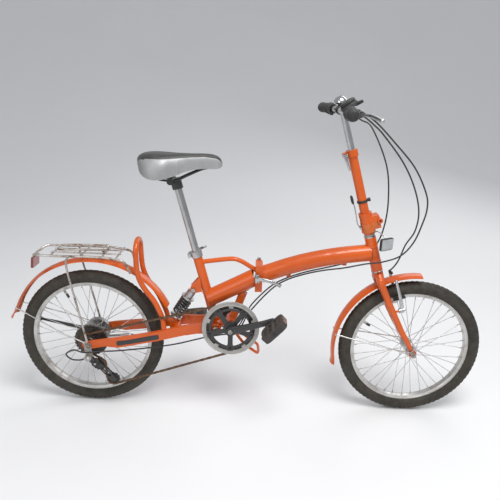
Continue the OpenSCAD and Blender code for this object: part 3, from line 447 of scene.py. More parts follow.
orangePaint = finish("orangePaint", (0.66, 0.105, 0.004), (0.54, 0.078, 0.003), 5.0, (0.26, 0.42),
                     grain=(6e-05, 260.0), dirt=((0.36, 0.08, 0.01), 7.0, 0.6, 0.85, 0.35),
                     dust=0.03, coat=(0.45, 0.06), specular=0.35)
castPaint = finish("castPaint", (0.66, 0.14, 0.014), (0.5, 0.1, 0.01), 30.0, (0.3, 0.5),
                   grain=(0.0003, 300.0), dirt=((0.16, 0.05, 0.02), 28.0, 0.52, 0.8, 0.6),
                   coat=(0.4, 0.2))
brightChrome = finish("brightChrome", (0.56, 0.56, 0.56), (0.42, 0.42, 0.42), 12.0, (0.08, 0.2),
                      metal=1.0, grain=(2e-05, 900.0),
                      dirt=((0.3, 0.24, 0.18), 30.0, 0.62, 0.85, 0.5))
rustyChrome = finish("rustyChrome", (0.6, 0.58, 0.55), (0.48, 0.44, 0.39), 25.0, (0.18, 0.42),
                     metal=0.85, grain=(0.00012, 500.0),
                     dirt=((0.17, 0.075, 0.03), 42.0, 0.48, 0.66, 0.85), dust=0.2)
satinAlloy = finish("satinAlloy", (0.56, 0.56, 0.56), (0.44, 0.44, 0.44), 16.0, (0.24, 0.44),
                    metal=1.0, grain=(3e-05, 1400.0),
                    dirt=((0.16, 0.13, 0.1), 36.0, 0.55, 0.8, 0.55))
rimAlloy = finish("rimAlloy", (0.62, 0.61, 0.59), (0.5, 0.48, 0.45), 18.0, (0.22, 0.45), metal=0.9,
                  grain=(4e-05, 900.0), dirt=((0.2, 0.14, 0.09), 24.0, 0.5, 0.78, 0.7))
steelWire = finish("steelWire", (0.62, 0.61, 0.6), (0.45, 0.43, 0.4), 20.0, (0.2, 0.4), metal=1.0,
                   dirt=((0.22, 0.15, 0.09), 40.0, 0.55, 0.8, 0.6))
zincSteel = finish("zincSteel", (0.46, 0.45, 0.43), (0.34, 0.32, 0.29), 60.0, (0.3, 0.55),
                   metal=0.9, grain=(0.0001, 900.0),
                   dirt=((0.15, 0.08, 0.04), 90.0, 0.5, 0.75, 0.7))
blackPlastic = finish("blackPlastic", (0.018, 0.018, 0.019), (0.03, 0.029, 0.028), 20.0,
                      (0.42, 0.62), grain=(0.00012, 1600.0), dirt=(mud, 34.0, 0.6, 0.85, 0.35),
                      dust=0.12)
dustyPlastic = finish("dustyPlastic", (0.035, 0.033, 0.03), (0.055, 0.048, 0.04), 20.0,
                      (0.55, 0.75), grain=(0.0002, 1000.0), dirt=(mud, 26.0, 0.5, 0.8, 0.4),
                      dust=0.1)
blackPaint = finish("blackPaint", (0.016, 0.016, 0.017), (0.026, 0.025, 0.024), 16.0, (0.25, 0.45),
                    grain=(6e-05, 400.0), dirt=(mud, 30.0, 0.55, 0.8, 0.45), coat=(0.3, 0.2))
greyPlastic = finish("greyPlastic", (0.42, 0.41, 0.39), (0.33, 0.32, 0.3), 18.0, (0.4, 0.6),
                     grain=(0.0001, 900.0), dirt=((0.13, 0.1, 0.065), 22.0, 0.45, 0.75, 0.6))
tyreRubber = finish("tyreRubber", (0.02, 0.018, 0.014), (0.032, 0.028, 0.021), 14.0, (0.6, 0.82),
                    grain=(0.00025, 900.0), dirt=((0.085, 0.066, 0.046), 45.0, 0.42, 0.8, 0.7))
gripRubber = finish("gripRubber", (0.016, 0.016, 0.016), (0.026, 0.025, 0.025), 30.0, (0.5, 0.72),
                    grain=(0.00025, 1500.0), dirt=((0.07, 0.06, 0.05), 40.0, 0.55, 0.8, 0.4),
                    sheen=0.05)
cableJacket = finish("cableJacket", (0.014, 0.014, 0.015), (0.024, 0.023, 0.023), 30.0,
                     (0.3, 0.48), grain=(5e-05, 900.0), dirt=(mud, 40.0, 0.6, 0.85, 0.4))
darkSteel = finish("darkSteel", (0.12, 0.11, 0.1), (0.07, 0.062, 0.055), 70.0, (0.32, 0.6),
                   metal=0.85, grain=(0.0001, 900.0),
                   dirt=((0.1, 0.05, 0.025), 70.0, 0.5, 0.75, 0.7))
chainSteel = finish("chainSteel", (0.2, 0.13, 0.085), (0.11, 0.07, 0.045), 120.0, (0.35, 0.65),
                    metal=0.7, grain=(0.0001, 900.0),
                    dirt=((0.12, 0.05, 0.02), 110.0, 0.45, 0.7, 0.8))
redLens = finish("redLens", (0.26, 0.012, 0.01), (0.18, 0.008, 0.008), 20.0, (0.1, 0.25),
                 grain=(0.0002, 700.0), dirt=(mud, 30.0, 0.55, 0.8, 0.5), coat=(0.8, 0.05))
clearLens = finish("clearLens", (0.42, 0.44, 0.45), (0.34, 0.355, 0.36), 26.0, (0.08, 0.22),
                   dirt=((0.25, 0.22, 0.18), 30.0, 0.55, 0.85, 0.5), coat=(0.9, 0.04))
leatherBlack = finish("leatherBlack", (0.02, 0.02, 0.021), (0.034, 0.033, 0.033), 14.0,
                      (0.38, 0.58), grain=(0.0004, 420.0), dust=0.1, sheen=0.1)
silverCover = finish("silverCover", (0.36, 0.37, 0.37), (0.28, 0.285, 0.285), 10.0, (0.34, 0.52),
                     metal=0.35, grain=(0.0003, 520.0),
                     dirt=((0.15, 0.13, 0.11), 12.0, 0.5, 0.8, 0.4))
clearDisc = finish("clearDisc", (0.3, 0.3, 0.29), (0.22, 0.215, 0.2), 30.0, (0.15, 0.4),
                   dirt=((0.14, 0.11, 0.08), 30.0, 0.45, 0.7, 0.7), coat=(0.5, 0.1))
amberLens = finish("amberLens", (0.22, 0.07, 0.012), (0.14, 0.045, 0.01), 40.0, (0.2, 0.4),
                   grain=(0.0002, 900.0), dirt=(mud, 40.0, 0.4, 0.65, 0.85), coat=(0.4, 0.1))
print("materials made")

cadFinish = {
    orangePaint: "rear_frame swingarm rear_mudguard front_frame fork front_mudguard handlepost",
    castPaint: "stem_base",
    brightChrome: "seatpost headset bell post_clamp_lever seat_clamp_lever frame_hinge_lever "
                  "stem_lever handlebar",
    rustyChrome: "rack rack_clip",
    satinAlloy: "seat_clamp brake_arm_left brake_arm_right rear_hub front_hub "
                "brake_lever_left brake_lever_right shock_body rear_brake",
    rimAlloy: "rear_rim front_rim",
    steelWire: "rear_spokes front_spokes shock_shaft",
    zincSteel: "bottom_bracket frame_pins crank_axles rear_axle front_axle",
    blackPlastic: "shifter shift_dial cables derailleur_body pulley_top pulley_bottom",
    dustyPlastic: "pedal_right pedal_left",
    blackPaint: "saddle_rails crank_arms kickstand shock_spring derailleur_cage",
    darkSteel: "chainring sprockets",
    greyPlastic: "chain_guard",
    tyreRubber: "rear_tyre front_tyre",
    gripRubber: "grips",
    chainSteel: "chain",
    redLens: "rear_reflector",
    clearLens: "front_reflector",
    leatherBlack: "saddle",
}
for material, names in cadFinish.items():
    for name in names.split():
        mesh = nodes[name].data
        for k in range(len(mesh.materials)):
            mesh.materials[k] = material

# tyres: the section is a round carcass with a blocked tread, carried round the axle
tyre = {"radius": 250.0, "width": 47.0, "beadRadius": 206.0, "treadDepth": 1.6, "blocks": 84}


def tyreShell(centre):
    crown = tyre["radius"] - tyre["width"] / 2
    r = tyre["width"] / 2
    steps = 4 * tyre["blocks"]
    a = np.arange(steps) * 2 * math.pi / steps
    # section angle: 0 at the crown, a full turn back to the bead on the other side
    b = np.linspace(-2.42, 2.42, 45)
    across, along = np.meshgrid(b, a, indexing="ij")
    phase = along * tyre["blocks"] / 2 + 1.2 * np.abs(across)
    tread = (np.cos(phase * 2) > -0.35) & (np.abs(across) < 0.95)
    rib = (np.abs(np.abs(across) - 0.33) < 0.07) | (np.abs(np.abs(across) - 0.72) < 0.06)
    drop = np.where(np.abs(across) < 0.98, np.where(tread & ~rib, 0.0, -tyre["treadDepth"]), -1.0)
    wall = 0.5 * np.exp(-((np.abs(across) - 1.45) / 0.05) ** 2)
    wall += 0.6 * np.exp(-((np.abs(across) - 1.95) / 0.05) ** 2)
    radius = crown + (r + drop + wall - 0.2) * np.cos(across)
    side = (r + drop + wall - 0.2) * np.sin(across)
    lip = np.array([(tyre["beadRadius"], 9.0), (tyre["beadRadius"], -9.0)])
    radius = np.vstack([radius, np.repeat(lip[:, :1], steps, 1)])
    side = np.vstack([side, np.repeat(lip[:, 1:], steps, 1)])
    grid = np.stack([radius * np.cos(a), side, radius * np.sin(a)], -1)
    return gridShell(grid + centre, wrapRows=True)


rimShape = {"width": 24.0, "holes": 36, "nippleFoot": 195.6, "nippleOut": 4.0}


# rims: a box section with hooked edges and a wear groove on each side
def rimShell(centre):
    w = rimShape["width"] / 2
    half = [(205.5, 9.4), (209.6, 9.6), (210.0, 10.6), (209.6, 11.6), (208.6, 12.0),
            (203.6, 12.0), (203.2, 11.6), (202.2, 11.6), (201.8, 12.0), (198.0, 11.9),
            (196.2, 10.4), (195.4, 7.0), (195.0, 0.0)]
    profile = half + [(r, -y) for r, y in half[::-1][1:]]
    profile += [(204.0, -8.0), (203.6, 0.0), (204.0, 8.0)]
    profile = [(r, y * w / 12.0) for r, y in profile]
    return lathe(profile, centre, sideways, sides=144, closed=True)


def nippleShells(centre):
    shells = []
    for k in range(rimShape["holes"]):
        a = 2 * math.pi * k / rimShape["holes"]
        out = ray(a)
        y = rimShape["nippleOut"] * (1 if k % 2 == 0 else -1)
        inward = out + np.array([0.0, -0.09 if y < 0 else 0.09, 0.0])
        start = centre + rimShape["nippleFoot"] * out + [0, y, 0]
        shells.append(lathe([(2.7, 0.0), (2.5, 0.9), (1.9, 1.2), (1.7, 11.0), (1.2, 12.0)],
                            start, -inward, sides=8))
    return shells


valve = {"rear": 118.0, "front": 152.0, "foot": 195.5, "capFrom": 16.0}  # angles in degrees
for end, centre, body in (("rear", rearAxle, "rear_wheel"), ("front", frontAxle, "front_wheel")):
    addPiece(end + "TyreTread", tyreShell(centre), tyreRubber, body,
             [end + "_tyre"], sharp=28)
    addPiece(end + "RimHoop", rimShell(centre), rimAlloy, body, [end + "_rim"], sharp=30)
    addPiece(end + "Nipples", joined(nippleShells(centre)), satinAlloy, body)
    # valve: threaded stem and ribbed cap
    out = ray(math.radians(valve[end]))
    stem = centre + valve["foot"] * out
    addPiece(end + "ValveStem", lathe([(3.2, 0), (3.2, 1), (2.6, 1.2), (2.6, 20)], stem, -out, 16),
             zincSteel, body)
    addPiece(end + "ValveCap",
             lathe([(3.9, 0), (4.2, 1.0), (4.2, 12.0), (3.6, 14.5), (1.5, 15.2)],
                   stem - valve["capFrom"] * out, -out, 20,
                   ripple=lambda i, a: np.where((i > 0) & (i < 3), 0.25 * np.sign(np.sin(a * 10)),
                                                0.0)), blackPlastic, body)
print("wheels made")

# cogs: teeth are a power of a cosine standing on the root circle
pitchLength = 12.7


def pitchRadius(teeth):
    return pitchLength / 2 / math.sin(math.pi / teeth)


def toothed(teeth, turnAt=0.0, height=5.2):
    r = pitchRadius(teeth)
    return lambda a: r - 3.4 + height * np.abs(np.cos((a + turnAt) * teeth / 2)) ** 0.55


cogs = {"teeth": (28, 24, 21, 18, 16, 14), "step": 4.6, "first": -31.6}
shells = []
for k, teeth in enumerate(cogs["teeth"]):
    y = cogs["first"] - k * cogs["step"]
    shells.append(flatRing([0, y, axleZ], 21.0, toothed(teeth, 0.07 * k), -0.9, 0.9,
                           sides=teeth * 8, bevel=0.25))
shells.append(lathe([(22, -27.8), (22, -56.0), (20, -58.6), (13.5, -58.6), (13.5, -27.8)],
                    rearAxle, sideways, 40, closed=True))
addPiece("rearCogs", shells, darkSteel, "freewheel", ["sprockets"])
# clear disc between the largest cog and the spokes
addPiece("spokeGuardDisc", lathe([(24, -26.6), (40, -26.2), (56, -25.0), (59, -25.0),
                                  (59, -24.2), (56, -24.0), (40, -25.2), (24, -25.6)],
                                 rearAxle, sideways, 72, closed=True),
         clearDisc, "rear_wheel")

ringTeeth = 44
addPiece("chainWheel", flatRing(crankAt + [0, chainY, 0], 70.5, toothed(ringTeeth), -1.0, 1.0,
                                sides=ringTeeth * 8, bevel=0.3),
         darkSteel, "crankset", ["chainring"])
# guard ring: a plastic hoop outside the chain, with a lip, and tabs that reach inwards
guard = {"outer": 98.4, "inner": 83.5, "front": -57.9, "back": -52.9}
profile = [(guard["inner"], guard["back"]), (guard["outer"] - 1, guard["back"]),
           (guard["outer"], guard["back"] - 1), (guard["outer"], guard["front"] + 1.6),
           (guard["outer"] - 1.2, guard["front"] + 0.2), (guard["outer"] - 4, guard["front"]),
           (guard["outer"] - 6.5, guard["front"] + 1.1),
           (guard["inner"] + 4, guard["front"] + 1.1), (guard["inner"] + 1, guard["front"]),
           (guard["inner"], guard["front"] + 0.8)]
shells = [lathe(profile, crankAt, sideways, 144, closed=True)]
for k in range(5):
    a = math.radians(90 + 36 + 72 * k)
    out = ray(-a)
    path = crankAt + [0, -55.2, 0] + np.linspace(72.0, 86.0, 4)[:, None] * out
    shells.append(sweep(path, [6.0, 7.0, 8.5, 10.0], 1.6, up=sideways, power=5, sides=24))
addPiece("guardHoop", shells, greyPlastic, "crankset", ["chain_guard"])
# the spider's plate: five arms that widen into a thin ring, with rounded windows between
shells = [flatRing(crankAt + [0, -56.4, 0], 66.0, 75.0, -1.6, 1.4, sides=120, bevel=0.5)]
for k in range(5):
    a = math.radians(90 + 72 * k)
    out = ray(-a)
    reach = np.linspace(14.0, 84.0, 12)
    path = crankAt + [0, -59.5, 0] + reach[:, None] * out
    path[:, 1] += 3.0 * np.clip((reach - 30) / 40, 0, 1)
    wide = 8.6 + 5.5 * np.clip((reach - 50) / 26, 0, 1) ** 2 - 4 * np.clip((reach - 76) / 8, 0, 1)
    shells.append(sweep(path, wide, 2.3, up=sideways, power=5, sides=24))
    shells.append(boltHead(crankAt + [0, -61.2, 0] + 76.0 * out, [0, -1, 0], 9.0, 3.0))
shells.append(lathe([(24, -57.5), (25, -59), (24, -64.5), (17, -66), (9, -66), (9, -57.5)],
                    crankAt, sideways, 48, closed=True))
addPiece("crankSpider", shells, blackPaint, "crankset")

# cranks: a forged arm, deep at the axle and slim at the pedal, with a cap over the axle bolt
arm = {"length": 150.0, "out": 75.2, "lean": 4.6}
crankWay = ray(crankAngle)
shells = []
for side in (-1, 1):
    along = crankWay * (1 if side < 0 else -1)
    s = np.linspace(0, 1, 20)
    path = crankAt + s[:, None] * arm["length"] * along
    path[:, 1] = side * (arm["out"] + arm["lean"] * s ** 1.5)
    wide = np.interp(s, [0, 0.12, 0.3, 0.8, 0.92, 1], [15.2, 14.9, 11.6, 10.4, 12.2, 12.8])
    tall = np.interp(s, [0, 0.15, 0.5, 0.9, 1], [8.9, 8.6, 6.6, 6.4, 6.4])
    shells.append(sweep(path, wide, tall, up=sideways, power=3.2, sides=32, round=5.5))
    shells.append(lathe([(16, 66.1), (16.4, 70), (15.4, 84.6), (12, 85.4), (4, 85.4)],
                        crankAt, [0, side, 0], 40))
addPiece("crankForgings", shells, blackPaint, "crankset", ["crank_arms"])
shells = []
for side in (-1, 1):
    shells.append(lathe([(7.4, 0), (7.6, 1.2), (6.6, 2.2), (3.4, 2.4), (3.2, 1.2)],
                        crankAt + [0, side * 85.3, 0], [0, side, 0], 24))
    tip = crankAt - side * arm["length"] * crankWay
    shells.append(lathe([(8.8, 0), (8.8, 5), (6.2, 5.4), (6.2, 9)],
                        tip + [0, side * 86.0, 0], [0, side, 0], 6))
addPiece("crankCaps", shells, zincSteel, "crankset")

# pedals: a cage of bars round a barrel, toothed edges, and a block with grooves on each face
pedal = {"long": 47.0, "wide": 39.5, "out": 135.0, "rightTip": -47.0, "leftTip": -8.0}


# turns a shell about the pedal's own axle and puts it at its place
def tipped(shell, tip, at):
    c, s = math.cos(tip), math.sin(tip)
    rot = np.array([[c, 0, s], [0, 1, 0], [-s, 0, c]])
    return shell[0] @ rot.T + at, shell[1]


def pedalShell(centre, tip):
    shells = []
    k = np.arange(240) * 2 * math.pi / 240
    # outline: a superellipse with small teeth on its long edges
    x = np.sign(np.cos(k)) * np.abs(np.cos(k)) ** 0.42 * pedal["long"]
    y = np.sign(np.sin(k)) * np.abs(np.sin(k)) ** 0.42 * pedal["wide"]
    teeth = 1.0 + 0.022 * (np.abs(np.cos(k)) > 0.7) * np.sign(np.sin(np.arange(240) * 0.5))
    rows = []
    for scale, z in ((0.74, -10.0), (0.97, -12.0), (1.0, -10.5), (0.985, 0.0), (1.0, 10.5),
                     (0.97, 12.0), (0.74, 10.0)):
        f = teeth if scale > 0.95 else 1.0
        rows.append(np.stack([x * scale * f, y * scale, np.full(240, z)], -1))
    shells.append(gridShell(np.stack(rows), wrapRows=True))
    for yy in (-13.0, 13.0):
        shells.append(sweep([[-38, yy, 0], [38, yy, 0]], 5.0, 8.0, up=upright, power=6,
                            sides=20))
    for xx in (-19.0, 19.0):
        for yy in np.linspace(-24, 24, 5):
            shells.append(softBox([xx * 1.25, yy, 0], [9.0, 3.4, 11.6], 6, rows=9, cols=16))
    shells.append(lathe([(11.5, -37), (12.8, -34), (12.8, -30), (11.2, -27), (10.6, 0),
                         (11.2, 27), (12.8, 30), (12.8, 34), (11.5, 37)], [0, 0, 0], sideways,
                        32))
    return tipped(joined(shells), tip, centre)


for name, side in (("right", -1), ("left", 1)):
    at = crankAt - side * arm["length"] * crankWay + [0, side * pedal["out"], 0]
    tip = math.radians(pedal[name + "Tip"])
    addPiece(name + "PedalBody", pedalShell(at, tip), dustyPlastic, name + "_pedal",
             ["pedal_" + name])
    lens = joined([softBox([e * 46.2, 0, 0], [1.6, 24.0, 6.6], 7) for e in (-1, 1)])
    addPiece(name + "PedalLens", tipped(lens, tip, at), amberLens, name + "_pedal")
    addPiece(name + "PedalCap", lathe([(7.5, 0), (7.2, 2.0), (4.0, 3.0)],
                                      at + [0, side * 38.0, 0], [0, side, 0], 24),
             blackPlastic, name + "_pedal")
print("drive made")

# chain: links of two plates and rollers along the loop round ring, cog and both pulleys
def arcPoints(centre, radius, start, stop):
    n = max(3, int(abs(stop - start) * radius / 2))
    a = np.linspace(start, stop, n)
    return np.stack([centre[0] + radius * np.cos(a), centre[2] + radius * np.sin(a)], -1)


def headingOf(a, b):
    return math.atan2(b[2] - a[2], b[0] - a[0])


def apart(a, b):
    return np.linalg.norm((b - a)[[0, 2]])


def chainLine():
    half, turnsRound = math.pi, 2 * math.pi
    ring, cog, top1, low = crankAt, rearAxle, topPulley, lowPulley
    ringR, cogR, smallR = (pitchRadius(teeth) for teeth in (ringTeeth, 16, 11))
    upper = headingOf(ring, cog) - math.acos((ringR - cogR) / apart(ring, cog)) + turnsRound
    lower = headingOf(low, ring) - math.acos((smallR - ringR) / apart(low, ring))
    leaveCog = headingOf(cog, top1) - math.acos((cogR + smallR) / apart(cog, top1))
    leaveTop = headingOf(top1, low) + math.acos(2 * smallR / apart(top1, low))
    parts = [arcPoints(ring, ringR, lower, upper % turnsRound),
             arcPoints(cog, cogR, upper % turnsRound, leaveCog + turnsRound),
             arcPoints(top1, smallR, leaveCog + half, leaveTop),
             arcPoints(low, smallR, leaveTop + half, lower + turnsRound)]
    return np.vstack(parts)


line = chainLine()
closedLine = np.vstack([line, line[:1]])
lengths = np.concatenate([[0], np.cumsum(np.linalg.norm(np.diff(closedLine, axis=0), axis=1))])
linkCount = 2 * round(lengths[-1] / pitchLength / 2)
at = np.linspace(0, lengths[-1], linkCount, endpoint=False)
joints = np.stack([np.interp(at, lengths, closedLine[:, k]) for k in (0, 1)], -1)
following = np.roll(joints, -1, 0)
t = np.linspace(0, 2 * math.pi, 16, endpoint=False)
# plate outline: two round ends and a waist, as (along, beside) about the link's middle
waist = np.stack([6.35 * np.sign(np.cos(t)) * np.abs(np.cos(t)) ** 0.35 + 3.4 * np.cos(t),
                  (3.1 + 0.9 * np.abs(np.cos(t)) ** 2) * np.sin(t)], -1)
link = {"inner": 2.0, "outer": 3.0, "thick": 0.9, "pin": 1.8, "roller": 3.8}
shells = []
for k in range(linkCount):
    a, b = joints[k], following[k]
    d = (b - a) / np.linalg.norm(b - a)
    n = np.array([-d[1], d[0]])
    outline = (a + b) / 2 + waist[:, :1] * d + waist[:, 1:] * n
    far = link["outer"] if k % 2 else link["inner"]
    for side in (-1, 1):
        y0 = chainY + side * far - link["thick"] / 2
        shells.append(plate(outline, y0, y0 + link["thick"], bevel=0.25))
    pin = np.array([a[0], chainY, a[1]])
    shells.append(lathe([(link["pin"], -3.7), (link["pin"], 3.7)], pin, sideways, 8))
    shells.append(lathe([(link["roller"], -1.4), (link["roller"], 1.4)], pin, sideways, 10))
links = addPiece("chainLinks", shells, chainSteel, None, ["chain"],
                 sharp=40)


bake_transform(links)
print("chain made")

# derailleur: a hanging knuckle, two parallel links, an outer knuckle, and a cage of two plates
shells = [softBox([20, -66, 186], [11, 8.5, 12], 4, rows=15, cols=28),
          lathe([(12, -75), (13, -72), (13, -60.5), (11.5, -58.4)], [22, 0, 182], sideways, 32),
          sweep(smooth([[3, -76, 208], [10, -79, 200], [16, -76, 192], [20, -68, 186]], 6),
                6.0, 8.5, up=sideways, power=3.5, sides=20, round=3.0),
          softBox([12, -71.5, 197], [7.5, 7.5, 11], 3.5, rows=15, cols=28)]
addPiece("derailleurKnuckle", shells, blackPlastic, "derailleur",
         ["derailleur_body"])
shells = [lathe([(6.2, 0), (6.2, 2.4), (5.2, 3.4), (2.6, 3.4), (2.4, 1.4)],
                [4, -92, 211], [0, -1, 0], 6),
          lathe([(4.2, 0), (4.2, 1.6), (2.2, 2.2)], [22, -75, 182], [0, -1, 0], 20),
          plate(smooth([[10, 204], [16, 203], [24, 188], [20, 183], [12, 193]], 5, True),
                -80.0, -77.4)]
addPiece("derailleurPlate", shells, satinAlloy, "derailleur")


# outline of a cage plate: two half circles about the pulleys
def cageOutline():
    d = (lowPulley - topPulley)[[0, 2]]
    n = np.array([-d[1], d[0]]) / np.linalg.norm(d)
    d = d / np.linalg.norm(d)
    a = np.linspace(-math.pi / 2, math.pi / 2, 12)
    top2, low2 = topPulley[[0, 2]], lowPulley[[0, 2]]
    r = 10.5
    end1 = top2 + r * (np.sin(a)[:, None] * n - np.cos(a)[:, None] * d)
    end2 = low2 + r * (np.sin(a[::-1])[:, None] * n + np.cos(a)[:, None] * d)
    return np.vstack([end1, end2])


outer = cageOutline()
middle = (topPulley + lowPulley)[[0, 2]] / 2
shells = []
for y in (chainY - 6.2, chainY + 5.0):
    inner = middle + (outer - middle) * [0.48, 0.48]
    rows = np.stack([np.stack([q[:, 0], np.full(len(q), h), q[:, 1]], -1)
                     for q, h in ((inner, y), (outer, y), (outer, y + 1.4), (inner, y + 1.4))])
    shells.append(gridShell(rows, wrapRows=True))
for p in (topPulley, lowPulley):
    shells.append(lathe([(7.5, -1.0), (7.5, 0.6), (5, 1.0)], p + [0, -6.2, 0], [0, -1, 0], 20))
    shells.append(lathe([(2.9, -6.5), (2.9, 6.5)], p, sideways, 16))
addPiece("pulleyCage", shells, blackPaint, "cage", ["derailleur_cage"])
for name, p, body in (("top", topPulley, "guide_pulley"), ("bottom", lowPulley, "tension_pulley")):
    shells = [flatRing(p, 12.5, toothed(11, 0.1, 4.6), -1.1, 1.1, sides=88, bevel=0.3),
              lathe([(13.0, -3.3), (13.0, 3.3), (10.5, 3.4), (9.5, 2.4), (3.1, 3.4), (3.1, -3.4),
                     (9.5, -2.4), (10.5, -3.4)], p, sideways, 32, closed=True)]
    addPiece(name + "JockeyWheel", shells, blackPlastic, body,
             ["pulley_" + name])

# saddle: sections along its length, crowned on top, with skirts that hang down at the sides
saddle = {"rear": 175.5, "length": 271.0, "shell": 3.2, "seamAngle": 0.74, "seamDepth": 1.0,
          "channelDepth": 2.4, "blackWidth": 0.665}
stations = np.array([0.0, 0.03, 0.10, 0.20, 0.32, 0.46, 0.62, 0.78, 0.90, 0.97, 1.0])
halfWidth = np.array([30, 52, 74, 86, 82, 56, 36, 27, 22, 15, 4.0])
topLine = np.array([886, 898, 905.5, 908, 907.5, 906.5, 907, 908, 905, 896, 880.0])
skirtLine = np.array([868, 850, 836, 830, 832, 842, 856, 862, 862, 864, 870.0])


# a smooth value along the saddle, at shares u of its length
def alongSaddle(values, u):
    line = smooth(np.stack([stations, values], -1), 20)
    return np.interp(u, line[:, 0], line[:, 1])


def saddleShell():
    u = np.linspace(0, 1, 84)
    w, z1, z0 = (alongSaddle(values, u)[:, None] for values in (halfWidth, topLine, skirtLine))
    u = u[:, None]
    # section: a from the left skirt edge over the crown to the right one, then back inside
    a = np.linspace(-math.pi / 2, math.pi / 2, 61)[None, :]
    drop = np.abs(np.sin(a)) ** 2.6
    y = w * np.sin(a) * (1 - 0.10 * np.abs(np.sin(a)) ** 6)
    fall = (z1 - z0) * (0.10 * np.sin(a) ** 2 + 0.90 * drop ** 1.7)
    z = z1 - fall
    seam = np.abs(np.abs(a) - saddle["seamAngle"]) < 0.04
    channel = np.exp(-(y / 9.0) ** 2) * np.sin(np.pi * np.clip((u - 0.12) / 0.72, 0, 1))
    z = z - saddle["channelDepth"] * channel - saddle["seamDepth"] * seam
    x = saddle["rear"] + saddle["length"] * u + 0 * a
    x = x + (1 - u) * 6.0 * np.sin(a) ** 2 * (u < 0.5)
    upper = np.stack([x, y, z], -1)
    t = saddle["shell"]
    lower = np.stack([x, y * (1 - t / np.maximum(w, 12.0)), np.maximum(z - 15.0, z0 + 0.8)], -1)
    grid = np.concatenate([upper, lower[:, ::-1]], 1)
    return gridShell(grid)


saddlePiece = addPiece("saddleCover", saddleShell(), leatherBlack, "seat",
                       ["saddle"], sharp=60)
# the cover is black above its seam and silver on the sides
saddlePiece.data.materials.append(silverCover)
centres = np.empty(len(saddlePiece.data.polygons) * 3)
saddlePiece.data.polygons.foreach_get("center", centres)
centres = centres.reshape(-1, 3) * 1000 + [originX, 0, 0]
share = np.clip((centres[:, 0] - saddle["rear"]) / saddle["length"], 0, 1)
outward = np.abs(centres[:, 1]) / np.maximum(alongSaddle(halfWidth, share), 4.0)
saddlePiece.data.polygons.foreach_set("material_index",
                                      (outward > saddle["blackWidth"]).astype(int))

# handlebar: a straight tube that bends back outside the brackets, on the inner post
bar = {"half": 308.0, "bendAt": 90.0, "back": 26.0, "gripLength": 124.0, "clampGap": 22.0}
backAngle = math.atan2(bar["back"], bar["half"] - bar["bendAt"])
sideLength = math.hypot(bar["half"] - bar["bendAt"], bar["back"])


# a point beside the bar: forward, outward along the bent half, and up
def onHalf(x, y, z, side=1):
    c, s = math.cos(backAngle), math.sin(backAngle)
    x, y, z = (np.asarray(v, float) for v in (x, y, z))
    return np.stack(np.broadcast_arrays(barCentre[0] + x * c - y * s,
                                        side * (x * s + y * c + bar["bendAt"]),
                                        barCentre[2] + z), -1)


def halfShell(shell, side):
    p = onHalf(shell[0][:, 0], shell[0][:, 1], shell[0][:, 2], side)
    return p, shell[1]


across = np.linspace(-1, 1, 81) * (bar["half"] - 6)
bend = np.maximum(np.abs(across) - bar["bendAt"], 0)
soft = np.where(bend < 24, bend ** 2 / 48, bend - 12)
barPath = np.stack([barCentre[0] - soft * math.tan(backAngle), across,
                    np.full(81, barCentre[2])], -1)
shells = [sweep(barPath, 11.15, up=upright, sides=32),
          sweep([onSteering(0, 0, s) for s in np.linspace(345, 556, 24)], 11.1, sides=40),
          weld(meeting(onSteering(0, 0, 400), steerUp, 11.1, barCentre, sideways, 11.3), 1.8, 2.4)]
addPiece("barAndPost", shells, brightChrome, "cockpit", ["handlebar"])

# grips: a swollen palm rest, a waist and two flanges, wrapped with fine rings
gripShape = np.array([(0, 13.2), (0.8, 20.0), (5, 20.4), (7, 18.2), (10, 15.0), (22, 15.4),
                      (36, 17.0), (52, 17.4), (66, 16.2), (80, 15.4), (92, 16.2), (104, 17.6),
                      (114, 17.2), (120, 15.6), (123.2, 12.0), (124, 8.0)])


def gripShell(side):
    y = np.linspace(0, bar["gripLength"], 190)
    r = np.interp(y, gripShape[:, 0], gripShape[:, 1])
    r = np.convolve(np.pad(r, 3, "edge"), np.ones(7) / 7, "valid")
    a = np.arange(48) * 2 * math.pi / 48
    ringing = 0.35 * np.sign(np.sin(y * 2 * math.pi / 5.2))
    ringing = np.where((y > 14) & (y < 112), ringing, 0)
    palm = 3.6 * np.exp(-((y - 78) / 26) ** 2)[:, None] * np.exp(-((a - 3.3) / 0.9) ** 2)[None, :]
    lump = 1.0 * np.cos(3 * a)[None, :] * np.exp(-((y - 60) / 40) ** 2)[:, None]
    radius = (r + ringing)[:, None] * np.ones(48) + 0.9 * palm - 0.5 * lump
    y2 = np.repeat(y[:, None], 48, 1) + (sideLength - bar["gripLength"])
    grid = np.stack([radius * np.cos(a), y2, radius * np.sin(a)], -1)
    return halfShell(gridShell(grid), side)


addPiece("handGrips", joined([gripShell(1), gripShell(-1)]), gripRubber, "cockpit",
         ["grips"], sharp=40)
clampAt = sideLength - bar["gripLength"] - bar["clampGap"]
leverAt = np.array([34.0, clampAt - 4, -4.0])


